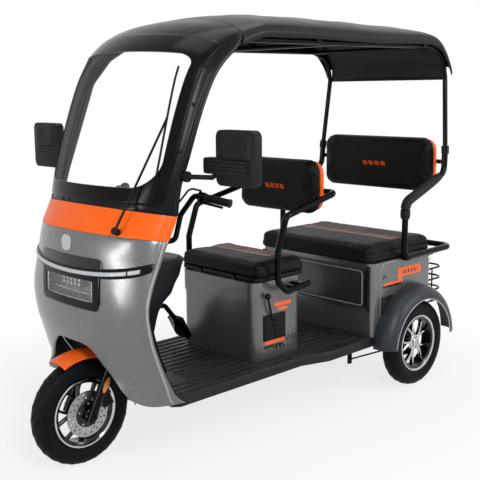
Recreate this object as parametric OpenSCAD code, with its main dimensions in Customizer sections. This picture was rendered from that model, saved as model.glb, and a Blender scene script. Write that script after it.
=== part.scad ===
// Roofed electric tricycle for a driver and two passengers.
// Millimetres, +X forward, +Y left, +Z up, ground at z = 0.

/* [Wheels] */
// distance from the rear axle to the front axle
wheelbase = 1680; // [1640:5:1720]
// distance between the rear wheels' middle planes
track = 776; // [770:1:790]
// outer diameter of the tyres
tyre_od = 422; // [416:1:426]
// width of the tyres
tyre_w = 86; // [80:1:88]
// diameter over the rim's lips
rim_od = 278; // [272:1:282]
// spokes of each wheel
spokes = 10; // [8:1:12]
// tilt of the steering axis from the vertical
rake = 26; // [24:0.5:27]

/* [Floor and boxes] */
// height of the floor's tread
floor_z = 288; // [284:1:292]
// depth of the floor's side skirt
floor_t = 45; // [40:1:48]
// half width of the floor beside the driver's box
floor_half = 318; // [310:1:322]
// ribs on the floor
floor_ribs = 15; // [9:2:17]
// width of the driver's box
box_w = 476; // [460:2:484]
// length of the driver's box
box_l = 298; // [290:1:302]
// height of the driver's box above the floor
box_h = 348; // [340:1:352]
// thickness of the boxes' walls
wall = 8; // [6:0.5:10]
// half width of the rear box
bench_half = 365; // [360:1:368]

/* [Seats] */
// thickness of the driver's cushion
seat_t = 64; // [58:1:70]
// half width of the driver's cushion
seat_half = 266; // [258:1:270]
// thickness of the bench cushion
bench_t = 84; // [78:1:90]
// width of the driver's backrest
back_w = 490; // [470:2:500]
// width of the bench's backrest
bench_back_w = 684; // [660:2:690]

/* [Roof and screen] */
// height of the roof's crown
roof_z = 1766; // [1750:1:1780]
// half width of the roof
roof_half = 400; // [396:1:404]
// thickness of the body shells
shell_t = 8; // [6:0.5:9]
// diameter of the roof's tubes
post_d = 28; // [25:0.5:30]
// reach of the basket behind the rear axle
basket_reach = 402; // [390:1:410]

/* [Steering] */
// diameter of the handlebar
bar_d = 22; // [20:0.5:24]
// diameter of the steering stem
stem_d = 34; // [30:1:36]
// spacing of the fork legs from the middle
leg_y = 82; // [80:0.5:86]

/* [Hidden] */
$fn = 48;
R = tyre_od / 2;
F = wheelbase;
rear_x = -(F + R - basket_reach) / 2;
run = 0.1;
gap = 6;
seam = 0.5;
half_track = track / 2;
rim_r = rim_od / 2;
box_x = 804;
box_top = floor_z + box_h;
bench_top = floor_z + 352;
hinge_r = 7;
pin_d = 8;
fork_off = 29;
head_up = 690;
head_lo = 425;
tube_y = max(seat_half, box_w / 2 + 5) + post_d / 2 + gap + 6;
gate = [132, 110];
gate_gap = 4;
cell_gap = [21, 40];
cell_h = 180;
shield_top = 985;
mirror_y = roof_half + 218;
post_foot = [-228, bench_half + 33, 1153];

// Point on the steering axis, h above the front axle along it
function on_axis(h) =
    [F - fork_off * cos(rake) - h * sin(rake), 0, R - fork_off * sin(rake) + h * cos(rake)];
head_top = on_axis(head_up);

// Outer end and inner end of the left grip's stretch of the handlebar
grip_end = head_top + [-146.5, 365, 199.5];
grip_in = head_top + [-86.5, 225, 225.5];

black = [0.07, 0.07, 0.08];
charcoal = [0.16, 0.17, 0.18];
gunmetal = [0.36, 0.36, 0.36];
orange = [0.93, 0.27, 0.06];
silver = [0.75, 0.76, 0.78];
smoke = [0.55, 0.60, 0.62, 0.4];
red = [0.7, 0.05, 0.05];

// Rows of the front body: height, nose and rear edge from the front axle, side in from the roof's
nose_rows = [
    [262, 300, -262, 65], [280, 235, -236, 64], [304, 140, -210, 62], [330, 78, -192, 58],
    [385, 24, -158, 47], [440, 24, -128, 37], [508, 30, -96, 27], [560, 36, -76, 21],
    [660, 37, -59, 19], [740, 37, -77, 19], [830, 35, -117, 19], [885, 34, -142, 19],
    [930, 26, -165, 19], [980, 0, -189, 18], [1030, -28, -212, 16]];

// Lower edge of the front body: angle round the nose, height
arch_rows = [
    [0, 508], [12, 505], [20, 486], [29, 435], [38, 385], [53, 330], [64, 304], [76, 280], [90, 264]];

// Rows of the screen: middle x and z, edge x and z, side in from the roof's, x from the front axle
screen_rows = [
    [-30, 1032, -200, 1000, 16], [-54, 1110, -216, 1110, 10], [-85, 1210, -248, 1200, 4],
    [-117, 1310, -288, 1310, 1], [-150, 1410, -330, 1410, 0], [-184, 1510, -380, 1500, 0],
    [-230, 1596, -430, 1556, 0], [-305, 1664, -485, 1600, 0], [-400, 1708, -508, 1630, 0],
    [-512, roof_z - 33, -514, 1650, 0]];

// Stations of the roof: x from the rear axle, crown below the highest point, edge height
roof_rows = [
    [F - 518, 33, 1650], [1075, 17, 1678], [990, 9, 1690], [735, 0, 1689], [344, 4, 1684], [0, 14, 1691],
    [-110, 28, 1688], [-170, 52, 1664], [-215, 96, 1622], [-245, 142, 1580], [-262, 184, 1546]];

// Cubic curve through column c of a table whose first column rises
function span(t, z) = max([0, for (i = [0 : len(t) - 2]) if (t[i][0] <= z) i]);
function slope(t, i, c) =
    let (a = max(0, i - 1), b = min(len(t) - 1, i + 1)) (t[b][c] - t[a][c]) / (t[b][0] - t[a][0]);
function curve(t, z, c) =
    let (i = span(t, z), h = t[i + 1][0] - t[i][0], s = min(1, max(0, (z - t[i][0]) / h)))
    (2 * s ^ 3 - 3 * s ^ 2 + 1) * t[i][c] + (s ^ 3 - 2 * s ^ 2 + s) * h * slope(t, i, c)
    + (3 * s ^ 2 - 2 * s ^ 3) * t[i + 1][c] + (s ^ 3 - s ^ 2) * h * slope(t, i + 1, c);

// The same tables with a row number put first
function numbered(t) = [for (i = [0 : len(t) - 1]) concat([i], t[i])];
screen_n = numbered(screen_rows);
roof_n = numbered(roof_rows);

// Points of the body surfaces, moved in by w
function half(z) = roof_half - curve(nose_rows, z, 3);
function nose_pt(a, z, w = 0) =
    let (e = curve(nose_rows, z, 2), n = curve(nose_rows, z, 1), h = half(z))
    [F + e + (n - e - w) * cos(a), (h - w) * sin(a), z];
function arch_z(a) = curve(arch_rows, abs(a), 1);
function screen_pt(a, s, w = 0) =
    let (xc = curve(screen_n, s, 1), zc = curve(screen_n, s, 2), xe = curve(screen_n, s, 3),
        ze = curve(screen_n, s, 4), h = roof_half - curve(screen_n, s, 5), k = min(1, max(0, (s - 5) / 4)))
    [F + xe + (xc - xe - w * (1 - k)) * cos(a), (h - w) * sin(a), ze + (zc - ze - w * k) * cos(a)];
function roof_pt(a, s, w = 0) =
    let (ze = curve(roof_n, s, 3), zc = roof_z - curve(roof_n, s, 2))
    [curve(roof_n, s, 1), (roof_half - w) * sin(a), ze + (zc - ze - w) * cos(a)];

// Closed shell between two grids of points, with a block of cells left open
module shell(out, inn, open = [0, 0, 0, 0]) {
    n = len(out);
    m = len(out[0]);
    pts = concat([for (r = out) each r], [for (r = inn) each r]);
    o = n * m;
    function solid(i, j) = i >= 0 && j >= 0 && i < n - 1 && j < m - 1
        && !(i >= open[0] && i < open[1] && j >= open[2] && j < open[3]);
    skin = [for (i = [0 : n - 2], j = [0 : m - 2]) if (solid(i, j))
        each let (a = i * m + j, b = a + 1, c = a + m + 1, d = a + m)
            [[a, b, c], [a, c, d], [o + a, o + c, o + b], [o + a, o + d, o + c]]];
    along_j = [for (i = [0 : n - 1], j = [0 : m - 2]) if (solid(i, j) != solid(i - 1, j))
        each let (a = i * m + j, b = a + 1, f = solid(i, j))
            f ? [[a, o + a, o + b], [a, o + b, b]] : [[a, o + b, o + a], [a, b, o + b]]];
    along_i = [for (i = [0 : n - 2], j = [0 : m - 1]) if (solid(i, j) != solid(i, j - 1))
        each let (a = i * m + j, d = a + m, f = solid(i, j))
            f ? [[a, d, o + d], [a, o + d, o + a]] : [[a, o + d, d], [a, o + a, o + d]]];
    polyhedron(points = pts, faces = concat(skin, along_j, along_i), convexity = 8);
}

// Vehicle frame: x is measured from the rear axle
module place() {
    translate([rear_x, 0, 0]) children();
}

// Steering frame: origin at the front axle, z along the steering axis
module steered() {
    translate([F, 0, R]) rotate([0, -rake, 0]) children();
}

// Both sides of the vehicle
module pair() {
    children();
    mirror([0, 1, 0]) children();
}

// Straight rod between two points
module rod(a, b, d) {
    v = b - a;
    translate(a) rotate([0, acos(v.z / norm(v)), atan2(v.y, v.x)]) cylinder(h = norm(v), d = d);
}

// Tube along points, bent with radius r at each inner point, with a thin sleeve where a bend begins
function unit(v) = v / norm(v);
function turn(p, i) = acos(max(-1, min(1, unit(p[i] - p[i - 1]) * unit(p[i + 1] - p[i]))));
function cut(p, i, r) = i == 0 || i == len(p) - 1 ? 0 : r * tan(turn(p, i) / 2);
function both(p) = concat(p, [for (i = [len(p) - 1 : -1 : 0]) [p[i].x, -p[i].y, p[i].z]]);
module bent(p, d, r) {
    sleeve = 2;
    last = len(p) - 1;
    for (i = [0 : last - 1]) {
        u = unit(p[i + 1] - p[i]);
        a = p[i] + u * cut(p, i, r);
        b = p[i + 1] - u * cut(p, i + 1, r);
        rod(a + u * (i == 0 ? 0 : 0.6), b - u * (i == last - 1 ? 0 : 0.6), d);
        if (i > 0) rod(a - u * sleeve, a + u * sleeve, d + 0.5);
        if (i < last - 1) rod(b - u * sleeve, b + u * sleeve, d + 0.5);
    }
    for (i = [1 : last - 1]) {
        u = unit(p[i] - p[i - 1]);
        v = unit(p[i + 1] - p[i]);
        k = unit(v - u * (u * v));
        z = cross(-k, u);
        c = p[i] - u * cut(p, i, r) + k * r;
        multmatrix([[-k.x, u.x, z.x, c.x], [-k.y, u.y, z.y, c.y], [-k.z, u.z, z.z, c.z], [0, 0, 0, 1]])
            rotate_extrude(angle = turn(p, i)) translate([r, 0]) circle(d = d);
    }
}

// Plate with round corners, from z = 0 up
module plate(l, w, h, r) {
    linear_extrude(h) {
        square([l - 2 * r, w], center = true);
        square([l, w - 2 * r], center = true);
        for (x = [-1, 1], y = [-1, 1]) translate([x * (l / 2 - r), y * (w / 2 - r)]) circle(r);
    }
}

// Cushion with round edges, centred, z up from its underside
module cushion(l, w, h, r, e) {
    hull() {
        for (x = [-1, 1], y = [-1, 1]) translate([x * (l / 2 - r), y * (w / 2 - r), 0]) {
            cylinder(h = h - e, r = r, $fn = 32);
            translate([0, 0, h - e]) rotate_extrude($fn = 32) {
                square([r - e, e]);
                intersection() {
                    translate([r - e, 0]) circle(e, $fn = 24);
                    square([r, e]);
                }
            }
        }
    }
}

// Frame under the floor with the steering head and the rails over the axle
module chassis_frame() {
    place() color(black) {
        rail = 40;
        top = floor_z - floor_t;
        difference() {
            union() {
                pair() for (y = [190]) {
                    translate([255, y - 20, top - rail]) cube([F - 330 - 255, rail, rail]);
                    translate([0, y + 20, 0]) rotate([90, 0, 0]) linear_extrude(rail)
                        polygon([[300, top - rail], [300, top], [260, top], [190, top + 90],
                            [-270, top + 90], [-270, top + 50], [172, top + 50], [255, top - rail]]);
                }
                for (x = [300, 620, 980, F - 370])
                    translate([x, -190, top - rail + 5]) cube([30, 380, 30]);
                translate([-270, -190, top + 52]) cube([30, 380, 36]);
                steered() translate([-fork_off, 0, head_lo])
                    cylinder(h = head_up - head_lo - 40, d = stem_d + 18);
                down_tube(38);
                pair() rod(on_axis(head_up - 118.5) - [11.4, 0, 0], [F - 42, roof_half - 87, 758], 25);
            }
            steered() translate([-fork_off, 0, 0]) cylinder(h = head_up + 100, d = stem_d + run);
        }
    }
}

// Tube from the floor up to the steering head
module down_tube(d) {
    rod([F - 372.5, 0, 215], on_axis(head_lo + 44) - [26, 0, 0], d);
}

// Ribbed floor, narrow beside the driver and wide under the bench
module floor_board() {
    place() color(charcoal) {
        wide = bench_half - 3;
        difference() {
            translate([0, 0, floor_z - floor_t]) linear_extrude(floor_t)
                polygon([[262, -wide], [262, wide], [600, wide], [740, floor_half], [F - 250, floor_half],
                    [F - 222, floor_half - 22], [F - 222, 215], [F - 318, 195], [F - 318, -195],
                    [F - 222, -215], [F - 222, 22 - floor_half], [F - 250, -floor_half],
                    [740, -floor_half], [600, -wide]]);
            down_tube(39);
        }
        step = 2 * (floor_half - 24) / (floor_ribs - 1);
        for (i = [0 : floor_ribs - 1]) {
            y = 24 - floor_half + i * step;
            front = abs(y) < 200 ? F - 407 : F - 260;
            inner = abs(y) < box_w / 2 + 14;
            translate([310, y - 6, floor_z]) cube([inner ? 330 : front - 310, 12, 4]);
            if (inner) translate([box_x + box_l / 2 + 14, y - 6, floor_z])
                cube([front - box_x - box_l / 2 - 14, 12, 4]);
        }
    }
}

// Lower and upper edge of the lamp opening and of the lens in it
lamp = [648, 802];
lens = [676, 762];

// Painted front body with its wheel arch and lamp opening
module front_fairing() {
    cols = [for (a = [-90 : 5 : 90]) a];
    steps = [for (t = [0 : 0.125 : 1]) t];
    function rows(a, w) = concat(
        [for (t = steps) nose_pt(a, arch_z(a) + (lamp[0] - arch_z(a)) * t, w)],
        [for (t = [1 : 3]) nose_pt(a, lamp[0] + (lamp[1] - lamp[0]) * t / 3, w)],
        [for (t = [1 : 3]) nose_pt(a, lamp[1] + (band_z(a) - lamp[1]) * t / 3, w)]);
    place() color(gunmetal) {
        out = [for (a = cols) rows(a, 0)];
        inn = [for (a = cols) rows(a, shell_t)];
        shell(out, inn, [12, 24, 8, 11]);
    }
}
function band_z(a) = 912 + 26 * cos(a);
function band_top(a) = 1000 + 32 * cos(a);

// Coloured band between the body and the screen
module fairing_band() {
    cols = [for (a = [-90 : 5 : 90]) a];
    function height(a, t) = band_z(a) + seam + (band_top(a) - 2 * seam - band_z(a)) * t;
    place() color(orange) {
        out = [for (a = cols) [for (t = [0 : 0.25 : 1]) nose_pt(a, height(a, t), -3)]];
        inn = [for (a = cols) [for (t = [0 : 0.25 : 1]) nose_pt(a, height(a, t), shell_t)]];
        shell(out, inn);
    }
}

// Black inner panel that swells round the steering column
// Rows of the swelling: share of its height, depth, half width of its flat, width of its flank
cover_rows = [
    [0, 165, 40, 80], [0.23, 196, 45, 90], [0.36, 211, 55, 100], [0.456, 220, 80, 120],
    [0.532, 226, 100, 150], [0.608, 235, 115, 170], [0.703, 300, 125, 170], [0.837, 330, 130, 170],
    [0.951, 330, 130, 170], [0.981, 300, 130, 170], [1, 20, 130, 170], [1.065, 10, 130, 170],
    [1.34, 8, 130, 170]];
cover_top = head_top.z - 12.5;
function cover_z(t) = floor_z - 8 + t * (cover_top - floor_z + 8);
function cover(z, c) = lookup(z, [for (r = cover_rows) [cover_z(r[0]), r[c]]]);
function swell(y, z) = 0.5 + 0.5 * cos(180 * min(1, max(0, (abs(y) - cover(z, 2)) / cover(z, 3))));
function shield_x(y, z, w) = F + curve(nose_rows, z, 2) - 2 - cover(z, 1) * swell(y, z) - w;
function shield_pt(k, z, w = 0) = let (y = k * (half(z) - shell_t - 0.4)) [shield_x(y, z, w), y, z];
module leg_shield() {
    place() color(black) {
        low = [0.1, 0.19, 0.285, 0.36, 0.437, 0.504, 0.57, 0.637, 0.703, 0.77, 0.837, 0.894, 0.951,
            0.981, 1];
        high = [0.19, 0.47, 0.75, 1];
        zs = concat([floor_z + 0.5], [for (t = low) cover_z(t)],
            [for (t = high) cover_top + t * (shield_top - cover_top)]);
        ks = [for (k = [-14 : 14]) k / 14];
        out = [for (k = ks) [for (z = zs) shield_pt(k, z, 0)]];
        inn = [for (k = ks) [for (z = zs) shield_pt(k, z, 6)]];
        shell(inn, out, [12, 16, 13, 15]);
    }
}

// Black surround, lens and light strip of the headlamp
module headlamp_bezel() {
    place() color(black) {
        cols = concat([-29.9], [for (a = [-25 : 5 : 25]) a], [29.9]);
        zs = [lamp[0] + seam, lens[0], lens[1], lamp[1] - seam];
        out = [for (a = cols) [for (z = zs) nose_pt(a, z, 4)]];
        inn = [for (a = cols) [for (z = zs) nose_pt(a, z, 60)]];
        shell(out, inn, [1, 11, 1, 2]);
    }
}

module headlamp_lens() {
    place() color(smoke) {
        cols = concat([-24.9], [for (a = [-20 : 5 : 20]) a], [24.9]);
        zs = [for (t = [0 : 3]) lens[0] + seam + (lens[1] - lens[0] - 2 * seam) * t / 3];
        out = [for (a = cols) [for (z = zs) nose_pt(a, z, 8)]];
        inn = [for (a = cols) [for (z = zs) nose_pt(a, z, 52)]];
        shell(out, inn);
    }
}

module light_bar() {
    function low(a) = 821 - 50 * cos(a);
    place() color(silver) {
        zs = [0, 8, 20, 28];
        lift = [3, 12, 12, 3];
        cols = [for (a = [-78 : 6 : 78]) a];
        out = [for (a = cols) [for (i = [0 : 3]) nose_pt(a, low(a) + zs[i], -lift[i])]];
        inn = [for (a = cols) [for (i = [0 : 3]) nose_pt(a, low(a) + zs[i], -0.8)]];
        shell(out, inn);
    }
}

// Columns and rows of the screen sheet, which lies on its frame
pane_cols = concat([-72, -66, -61], [for (a = [-50 : 10 : 50]) a], [61, 66, 72]);
pane_rows = [0.25, 0.5, 0.75, 1.25, 2, 2.75, 3.5, 4.25, 5, 5.5, 5.85, 6.1, 6.4, 6.75, 7.1];
pane_gap = 0.6;
pane_t = 3;

// Dark frame of the screen, which runs over into the roof
module windscreen_frame() {
    place() color(charcoal) {
        cols = concat([-90, -84, -78], pane_cols, [78, 84, 90]);
        rows = concat([0], pane_rows, [7.5, 8, 8.5, 9]);
        out = [for (a = cols) [for (s = rows) screen_pt(a, s, 0)]];
        inn = [for (a = cols) [for (s = rows) screen_pt(a, s, shell_t)]];
        shell(out, inn, [5, 17, 3, 12]);
    }
}

module windscreen() {
    place() color(smoke) {
        out = [for (a = pane_cols) [for (s = pane_rows) screen_pt(a, s, -pane_gap - pane_t)]];
        inn = [for (a = pane_cols) [for (s = pane_rows) screen_pt(a, s, -pane_gap)]];
        shell(out, inn);
    }
}

// Wiper arm and blade on the screen
module wiper() {
    ts = [for (t = [0 : 0.125 : 1]) t];
    glass = -pane_gap - pane_t;
    function blade(t, k, w) = screen_pt(58 - 6.5 * t + 0.8 * k, 1.45 + 3.93 * t, w);
    function strip(w) = [for (t = ts) [for (k = [-1, 1]) blade(t, k, w)]];
    place() color(black) {
        pivot = nose_pt(41, 947, -3.8);
        out = unit([0.85, 0.37, 0.37]);
        knee = screen_pt(54.5, 3.45, glass - 30);
        rod(pivot, pivot + 28 * out, 26);
        rod(pivot + 22 * out, knee, 9);
        shell(strip(glass - 0.8), strip(glass - 16));
        rod(knee, screen_pt(54.8, 3.4, glass - 13), 9);
    }
}

// Roof shell with a rim turned down all round
rim_drop = 34;
module roof_panel() {
    angs = [for (a = [-90 : 10 : 90]) a];
    n = len(roof_rows) - 1;
    rows = [for (i = [0 : 0.5 : n]) i];
    function lip(s, y, w) = [roof_pt(0, s).x, y * (roof_half - w), roof_pt(90, s).z - rim_drop];
    function row(s, w) = concat([lip(s, -1, w)], [for (a = angs) roof_pt(a, s, w)], [lip(s, 1, w)]);
    place() color(charcoal) {
        out = [for (s = rows) row(s, 0)];
        inn = [for (s = rows) row(s, shell_t)];
        shell(inn, out);
    }
}

// Dark panel that hangs below the roof's rear edge
module rear_visor() {
    place() color(black) {
        half = roof_half - 30 - (post_d - 4) / 2 - seam;
        translate([-255, -half, 1493]) cube([6, 2 * half, 70]);
    }
}

// Tubes from the rear posts along the roof and down behind the screen
module roof_frame() {
    place() color(black) {
        y = roof_half - 30;
        pair() {
            bent([post_foot, [-252, y, 1500], [-225, y, 1612], [-110, y, 1650], [F - 545, y, 1642],
                [F - 445, y - 4, 1588], [F - 352, y - 4, 1486], [F - 205, y - 16, 1130],
                [F - 70, roof_half - 100, 820], [F - 52, roof_half - 100, 773]], post_d - 4, 60);
            for (x = [-60, 300, 700, 1050]) translate([x, y - 4, 1645])
                cube([30, roof_half - shell_t - y + 4, 30]);
        }
        for (x = [-110, 500, F - 620]) rod([x, -y, 1648], [x, y, 1648], 20);
    }
}

// Hollow box under the driver's seat
module front_box() {
    place() translate([box_x, 0, 0]) color(gunmetal) {
        hx = box_l / 2 - 4;
        difference() {
            union() {
                translate([0, 0, floor_z]) plate(box_l, box_w, box_h, 40);
                translate([0, 0, box_top - 92]) plate(box_l + 10, box_w + 10, 92, 44);
            }
            translate([0, 0, floor_z + wall]) plate(box_l - 2 * wall, box_w - 2 * wall, box_h, 34);
            translate([-40 - gate_gap, box_w / 2 - 3, floor_z + 84 - gate_gap])
                cube([gate[0] + 2 * gate_gap, 20, gate[1] + 2 * gate_gap]);
        }
        difference() {
            for (y = [-110, 110]) translate([hx, y, 0]) {
                translate([-4, -8, box_top - 24]) cube([8, 16, 34]);
                translate([0, -8, box_top + 10]) rotate([-90, 0, 0]) cylinder(h = 16, r = hinge_r);
            }
            translate([hx, 0, box_top + 10]) rotate([90, 0, 0])
                cylinder(h = 400, d = pin_d + run, center = true);
        }
    }
}

// Base plate of the driver's seat with its hinge pins
module seat_base() {
    place() translate([box_x, 0, 0]) color(black) {
        hx = box_l / 2 - 4;
        difference() {
            translate([-7.5, 0, box_top + gap]) plate(box_l + 9, 2 * seat_half - 24, 16, 40);
            for (y = [-110, 110]) translate([hx - 14, y - 14, box_top]) cube([40, 28, 40]);
        }
        for (y = [-110, 110]) translate([hx, y - 15, box_top + 10 + 4]) rotate([-90, 0, 0])
            translate([0, 4, 0]) cylinder(h = 30, d = pin_d);
    }
}

module seat_cushion() {
    place() translate([box_x - 6, 0, box_top + gap + 16]) color(black)
        cushion(box_l + 14, 2 * seat_half, seat_t, 50, 28);
}

// Side tubes of the driver's seat that carry the backrest
module front_seat_frame() {
    place() color(black) {
        y = tube_y;
        bent(both([[664, y, 606], [806, y, 588], [862, y, 640], [862, y, 770], [810, y, 918],
            [484, y, 990]]), post_d, 34);
        pair() for (p = [[704, 590], [752, 584]])
            translate([p[0], box_w / 2 + 5, p[1]]) cube([30, y - box_w / 2 - 5, 26]);
    }
}

// Padded backrests and their moulded shells
module pad(w, h, t) {
    rotate([0, 90, 0]) rotate([0, 0, 90]) cushion(w, h, t, 46, 20);
}

module front_backrest() {
    place() color(black) translate([524, 0, 1015]) pad(back_w, 236, 60);
}

module rear_backrest() {
    place() color(black) translate([-226, 0, 1072]) pad(bench_back_w, 266, 60);
}

module backrest_shells() {
    place() color(orange) {
        translate([498, 0, 1015]) rotate([0, 90, 0]) plate(246, back_w + 10, 26, 50);
        translate([-252, 0, 1072]) rotate([0, 90, 0]) plate(276, bench_back_w + 8, 26, 50);
    }
}

// Parking brake lever with its gate on the side of the driver's box
module parking_lever() {
    place() color(black) {
        y = box_w / 2 - 3;
        translate([box_x - 40, y, floor_z + 84]) cube([gate[0], 8, gate[1]]);
        rod([box_x + 40, y + 8, floor_z + 164], [box_x + 88, y + 26, floor_z + 282], 10);
        translate([box_x + 90, y + 27, floor_z + 288]) sphere(14);
        for (i = [0 : 3]) translate([box_x - 30, y + 8, floor_z + 100 + i * 22]) cube([58, 4, 12]);
    }
}

// Foot brake pedal that hangs from the leg shield
module brake_pedal() {
    seat_z = cover_z(0.456);
    place() color(black) {
        bent([[shield_x(-120, seat_z, 6) - 21.4, -120, seat_z], [1140, -140, seat_z - 8], [1076, -150, 440],
            [1062, -152, 400]], 22, 36);
        translate([1052, -152, 390]) rotate([0, -62, 0]) plate(118, 100, 16, 18);
        translate([1052, -152, 390]) rotate([0, -62, 0]) for (i = [-2 : 2])
            translate([-50, i * 18 - 5, 15]) cube([100, 10, 6]);
    }
}

// Hollow bench box with an opening at the front
hatch_lo = 446;
hatch_hi = 616;
hatch_half = 330;
hatch_ax = [314, 436];
module rear_box() {
    place() color(gunmetal) {
        inner = half_track - tyre_w / 2 - 20;
        z_in = floor_z - floor_t + 90 + seam;
        z_up = 470;
        difference() {
            union() {
                translate([55, 0, z_up]) plate(490, 2 * bench_half, bench_top - z_up, 40);
                translate([25, 0, z_in]) plate(430, 2 * inner, 200, 20);
                translate([268, 0, floor_z]) plate(64, 2 * bench_half, bench_top - floor_z - 20, 20);
            }
            translate([55, 0, z_up + wall])
                plate(490 - 2 * wall, 2 * (bench_half - wall), bench_top - z_up - 2 * wall, 34);
            translate([25 + 20, 0, z_in + wall]) plate(430 - 2 * wall, 2 * (inner - wall), 190, 14);
            translate([200, -300, hatch_lo + 14]) cube([200, 600, hatch_hi - hatch_lo - 28]);
        }
        difference() {
            for (y = [-220, 220]) translate([298, y - 8, hatch_ax[1] - 7]) {
                cube([16, 16, 14]);
                translate([16, 0, 7]) rotate([-90, 0, 0]) cylinder(h = 16, r = hinge_r);
            }
            translate([hatch_ax[0], 0, hatch_ax[1]]) rotate([90, 0, 0])
                cylinder(h = 700, d = pin_d - 2 + run, center = true);
        }
    }
}

// Drop-down hatch of the bench box with its hinge pins
module rear_hatch() {
    place() color(gunmetal) {
        difference() {
            translate([308, 0, (hatch_lo + hatch_hi) / 2 - 8]) rotate([0, 90, 0])
                plate(hatch_hi - hatch_lo + 16, 2 * hatch_half, 12, 12);
            for (y = [-220, 220]) translate([300, y - 14, hatch_ax[1] - 30]) cube([30, 28, 43]);
        }
        for (y = [-220, 220]) translate([hatch_ax[0], y - 15, hatch_ax[1]]) rotate([-90, 0, 0])
            cylinder(h = 30, d = pin_d - 2);
    }
}

module bench_cushion() {
    place() color(black) translate([68, 0, bench_top]) cushion(524, 2 * bench_half, bench_t, 60, 34);
}

// Tubes round the bench, up to the joint with the roof posts
module rear_seat_frame() {
    place() color(black) {
        y = bench_half + 35;
        foot = post_foot;
        u = unit([-252, roof_half - 30, 1500] - foot);
        bent(both([foot - u * 3, [-218, y, 1036], [99, y, 916], [103, y, 650], [-300, y, 656]]),
            post_d + 2, 48);
        pair() {
            difference() {
                rod(foot - u * 24, foot + u * 16, post_d + 10);
                rod(foot - u, foot + u * 20, post_d - 4 + 2 * run);
            }
            for (x = [-150, 40]) translate([x, bench_half, 632]) cube([36, 30, 22]);
        }
        bent(both([[-224, y, 1086], [-263.5, y - 38, 1086]]), 22, 30);
    }
}

// Rear mudguards over the wheels
module rear_mudguards() {
    place() color(gunmetal) pair() {
        y0 = bench_half;
        translate([0, 0, R]) rotate([90, 0, 0]) translate([0, 0, -y0]) mirror([0, 0, 1])
            rotate_extrude(angle = 200, start = -14, $fn = 96)
                polygon([[284, 0], [290, 0], [290, 34], [286, 54], [276, 74], [260, 88], [240, 95],
                    [226, 95], [226, 91], [239, 91], [257, 84], [272, 71], [281, 52], [284, 34]]);
    }
}

// Tail lamps on the rear corners of the bench box
module tail_lamps() {
    place() color(red) pair() translate([-202, 250, 560]) {
        translate([0, -45, -22]) cube([12, 90, 44]);
    }
}

// Wire basket behind the bench
module basket() {
    place() color(black) {
        x0 = -190;
        x1 = 5 - basket_reach;
        for (z = [350, 408, 466, 524])
            bent([[x0, 300, z], [x1, 300, z], [x1, -300, z], [x0, -300, z]], 10, 60);
        for (y = [-200, -100, 0, 100, 200]) rod([x1, y, 346], [x1, y, 528], 8);
        for (y = [-200, -100, 0, 100, 200]) rod([x0, y, 350], [x1, y, 350], 8);
        pair() for (x = [-290]) rod([x, 300, 346], [x, 300, 528], 8);
    }
}

// Rear axle housing with its motor and brake drums
module rear_axle() {
    place() color(black) translate([0, 0, R]) rotate([90, 0, 0]) {
        reach = half_track - 30;
        cylinder(h = 2 * reach, d = 54, center = true);
        translate([0, 0, -60]) cylinder(h = 190, d = 150);
        translate([0, 0, -130]) cylinder(h = 70, d = 170);
        for (s = [-1, 1]) translate([0, 0, s * (reach - 20)]) cylinder(h = 30, d = 150, center = true);
        cylinder(h = 2 * half_track + 20, d = 20 - run, center = true);
    }
}

// Leaf springs between the axle and the rails
module rear_springs() {
    place() color(black) pair() translate([0, 190, R + 27]) {
        for (i = [0 : 2]) translate([-20 - (390 - i * 110) / 2, -20, i * 8]) cube([390 - i * 110, 40, 8]);
        for (x = [-210, 140]) translate([x, -16, 4])
            cube([30, 32, floor_z - floor_t + 50 - R - 27 - 4 - seam]);
    }
}

module battery_block() {
    size = [box_l - 2 * (wall + cell_gap[0]), box_w - 2 * (wall + cell_gap[1]), cell_h];
    place() color(black) translate([box_x - size.x / 2, -size.y / 2, floor_z + wall]) cube(size);
}

// Brake arm under the floor with its rod to the rear drum
module brake_linkage() {
    place() color(black) {
        translate([330, 262, 150]) cube([22, 10, floor_z - floor_t - 150]);
        rod([341, 262, 168], [60, half_track - 65 - 4 - seam, 178], 8);
    }
}

// Mirrors on the screen pillars, each with a ribbed block that holds its arm
module mirrors() {
    place() color(black) pair() {
        translate([F - 300, mirror_y, 1216]) rotate([0, 90, 0]) plate(196, 196, 34, 26);
        translate([F - 298, mirror_y - 45, 1186]) rotate([0, 90, 0]) plate(58, 234, 36, 12);
        for (i = [0 : 3]) translate([F - 263, mirror_y - 154, 1163 + 13 * i]) cube([6, 218, 7]);
        bent([[F - 230, roof_half, 1143], [F - 276, roof_half + 100, 1143],
            [F - 279, roof_half + 102, 1170]], 18, 14);
        translate([F - 230, roof_half - 6.2, 1143]) rotate([-90, 0, 0]) cylinder(h = 14, d = 40);
    }
}

module mirror_glass() {
    place() color(silver) pair() translate([F - 303, mirror_y, 1226]) rotate([0, 90, 0])
        plate(150, 172, 3, 20);
}

// Fork with its stem, clamp, legs, axle and brake caliper
module fork() {
    place() steered() color(black) {
        translate([-fork_off, 0, 384]) cylinder(h = head_up - 384, d = stem_d);
        translate([-fork_off / 2, 0, 380]) plate(110, 2 * leg_y + 56, 34, 24);
        pair() {
            translate([0, leg_y, -26]) cylinder(h = 300, d = 38);
            translate([0, leg_y, 270]) cylinder(h = 142, d = 28);
        }
        rotate([90, 0, 0]) cylinder(h = 2 * leg_y + 52, d = 14 - run, center = true);
        rotate([90, 0, 0]) rotate_extrude(angle = 38, start = 102)
            polygon([[62, -78], [108, -78], [108, -36], [70, -36], [70, -41], [97, -41], [97, -55],
                [62, -55]]);
        translate([-40, 58, 60]) cube([40, 12, 40]);
    }
}

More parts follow.
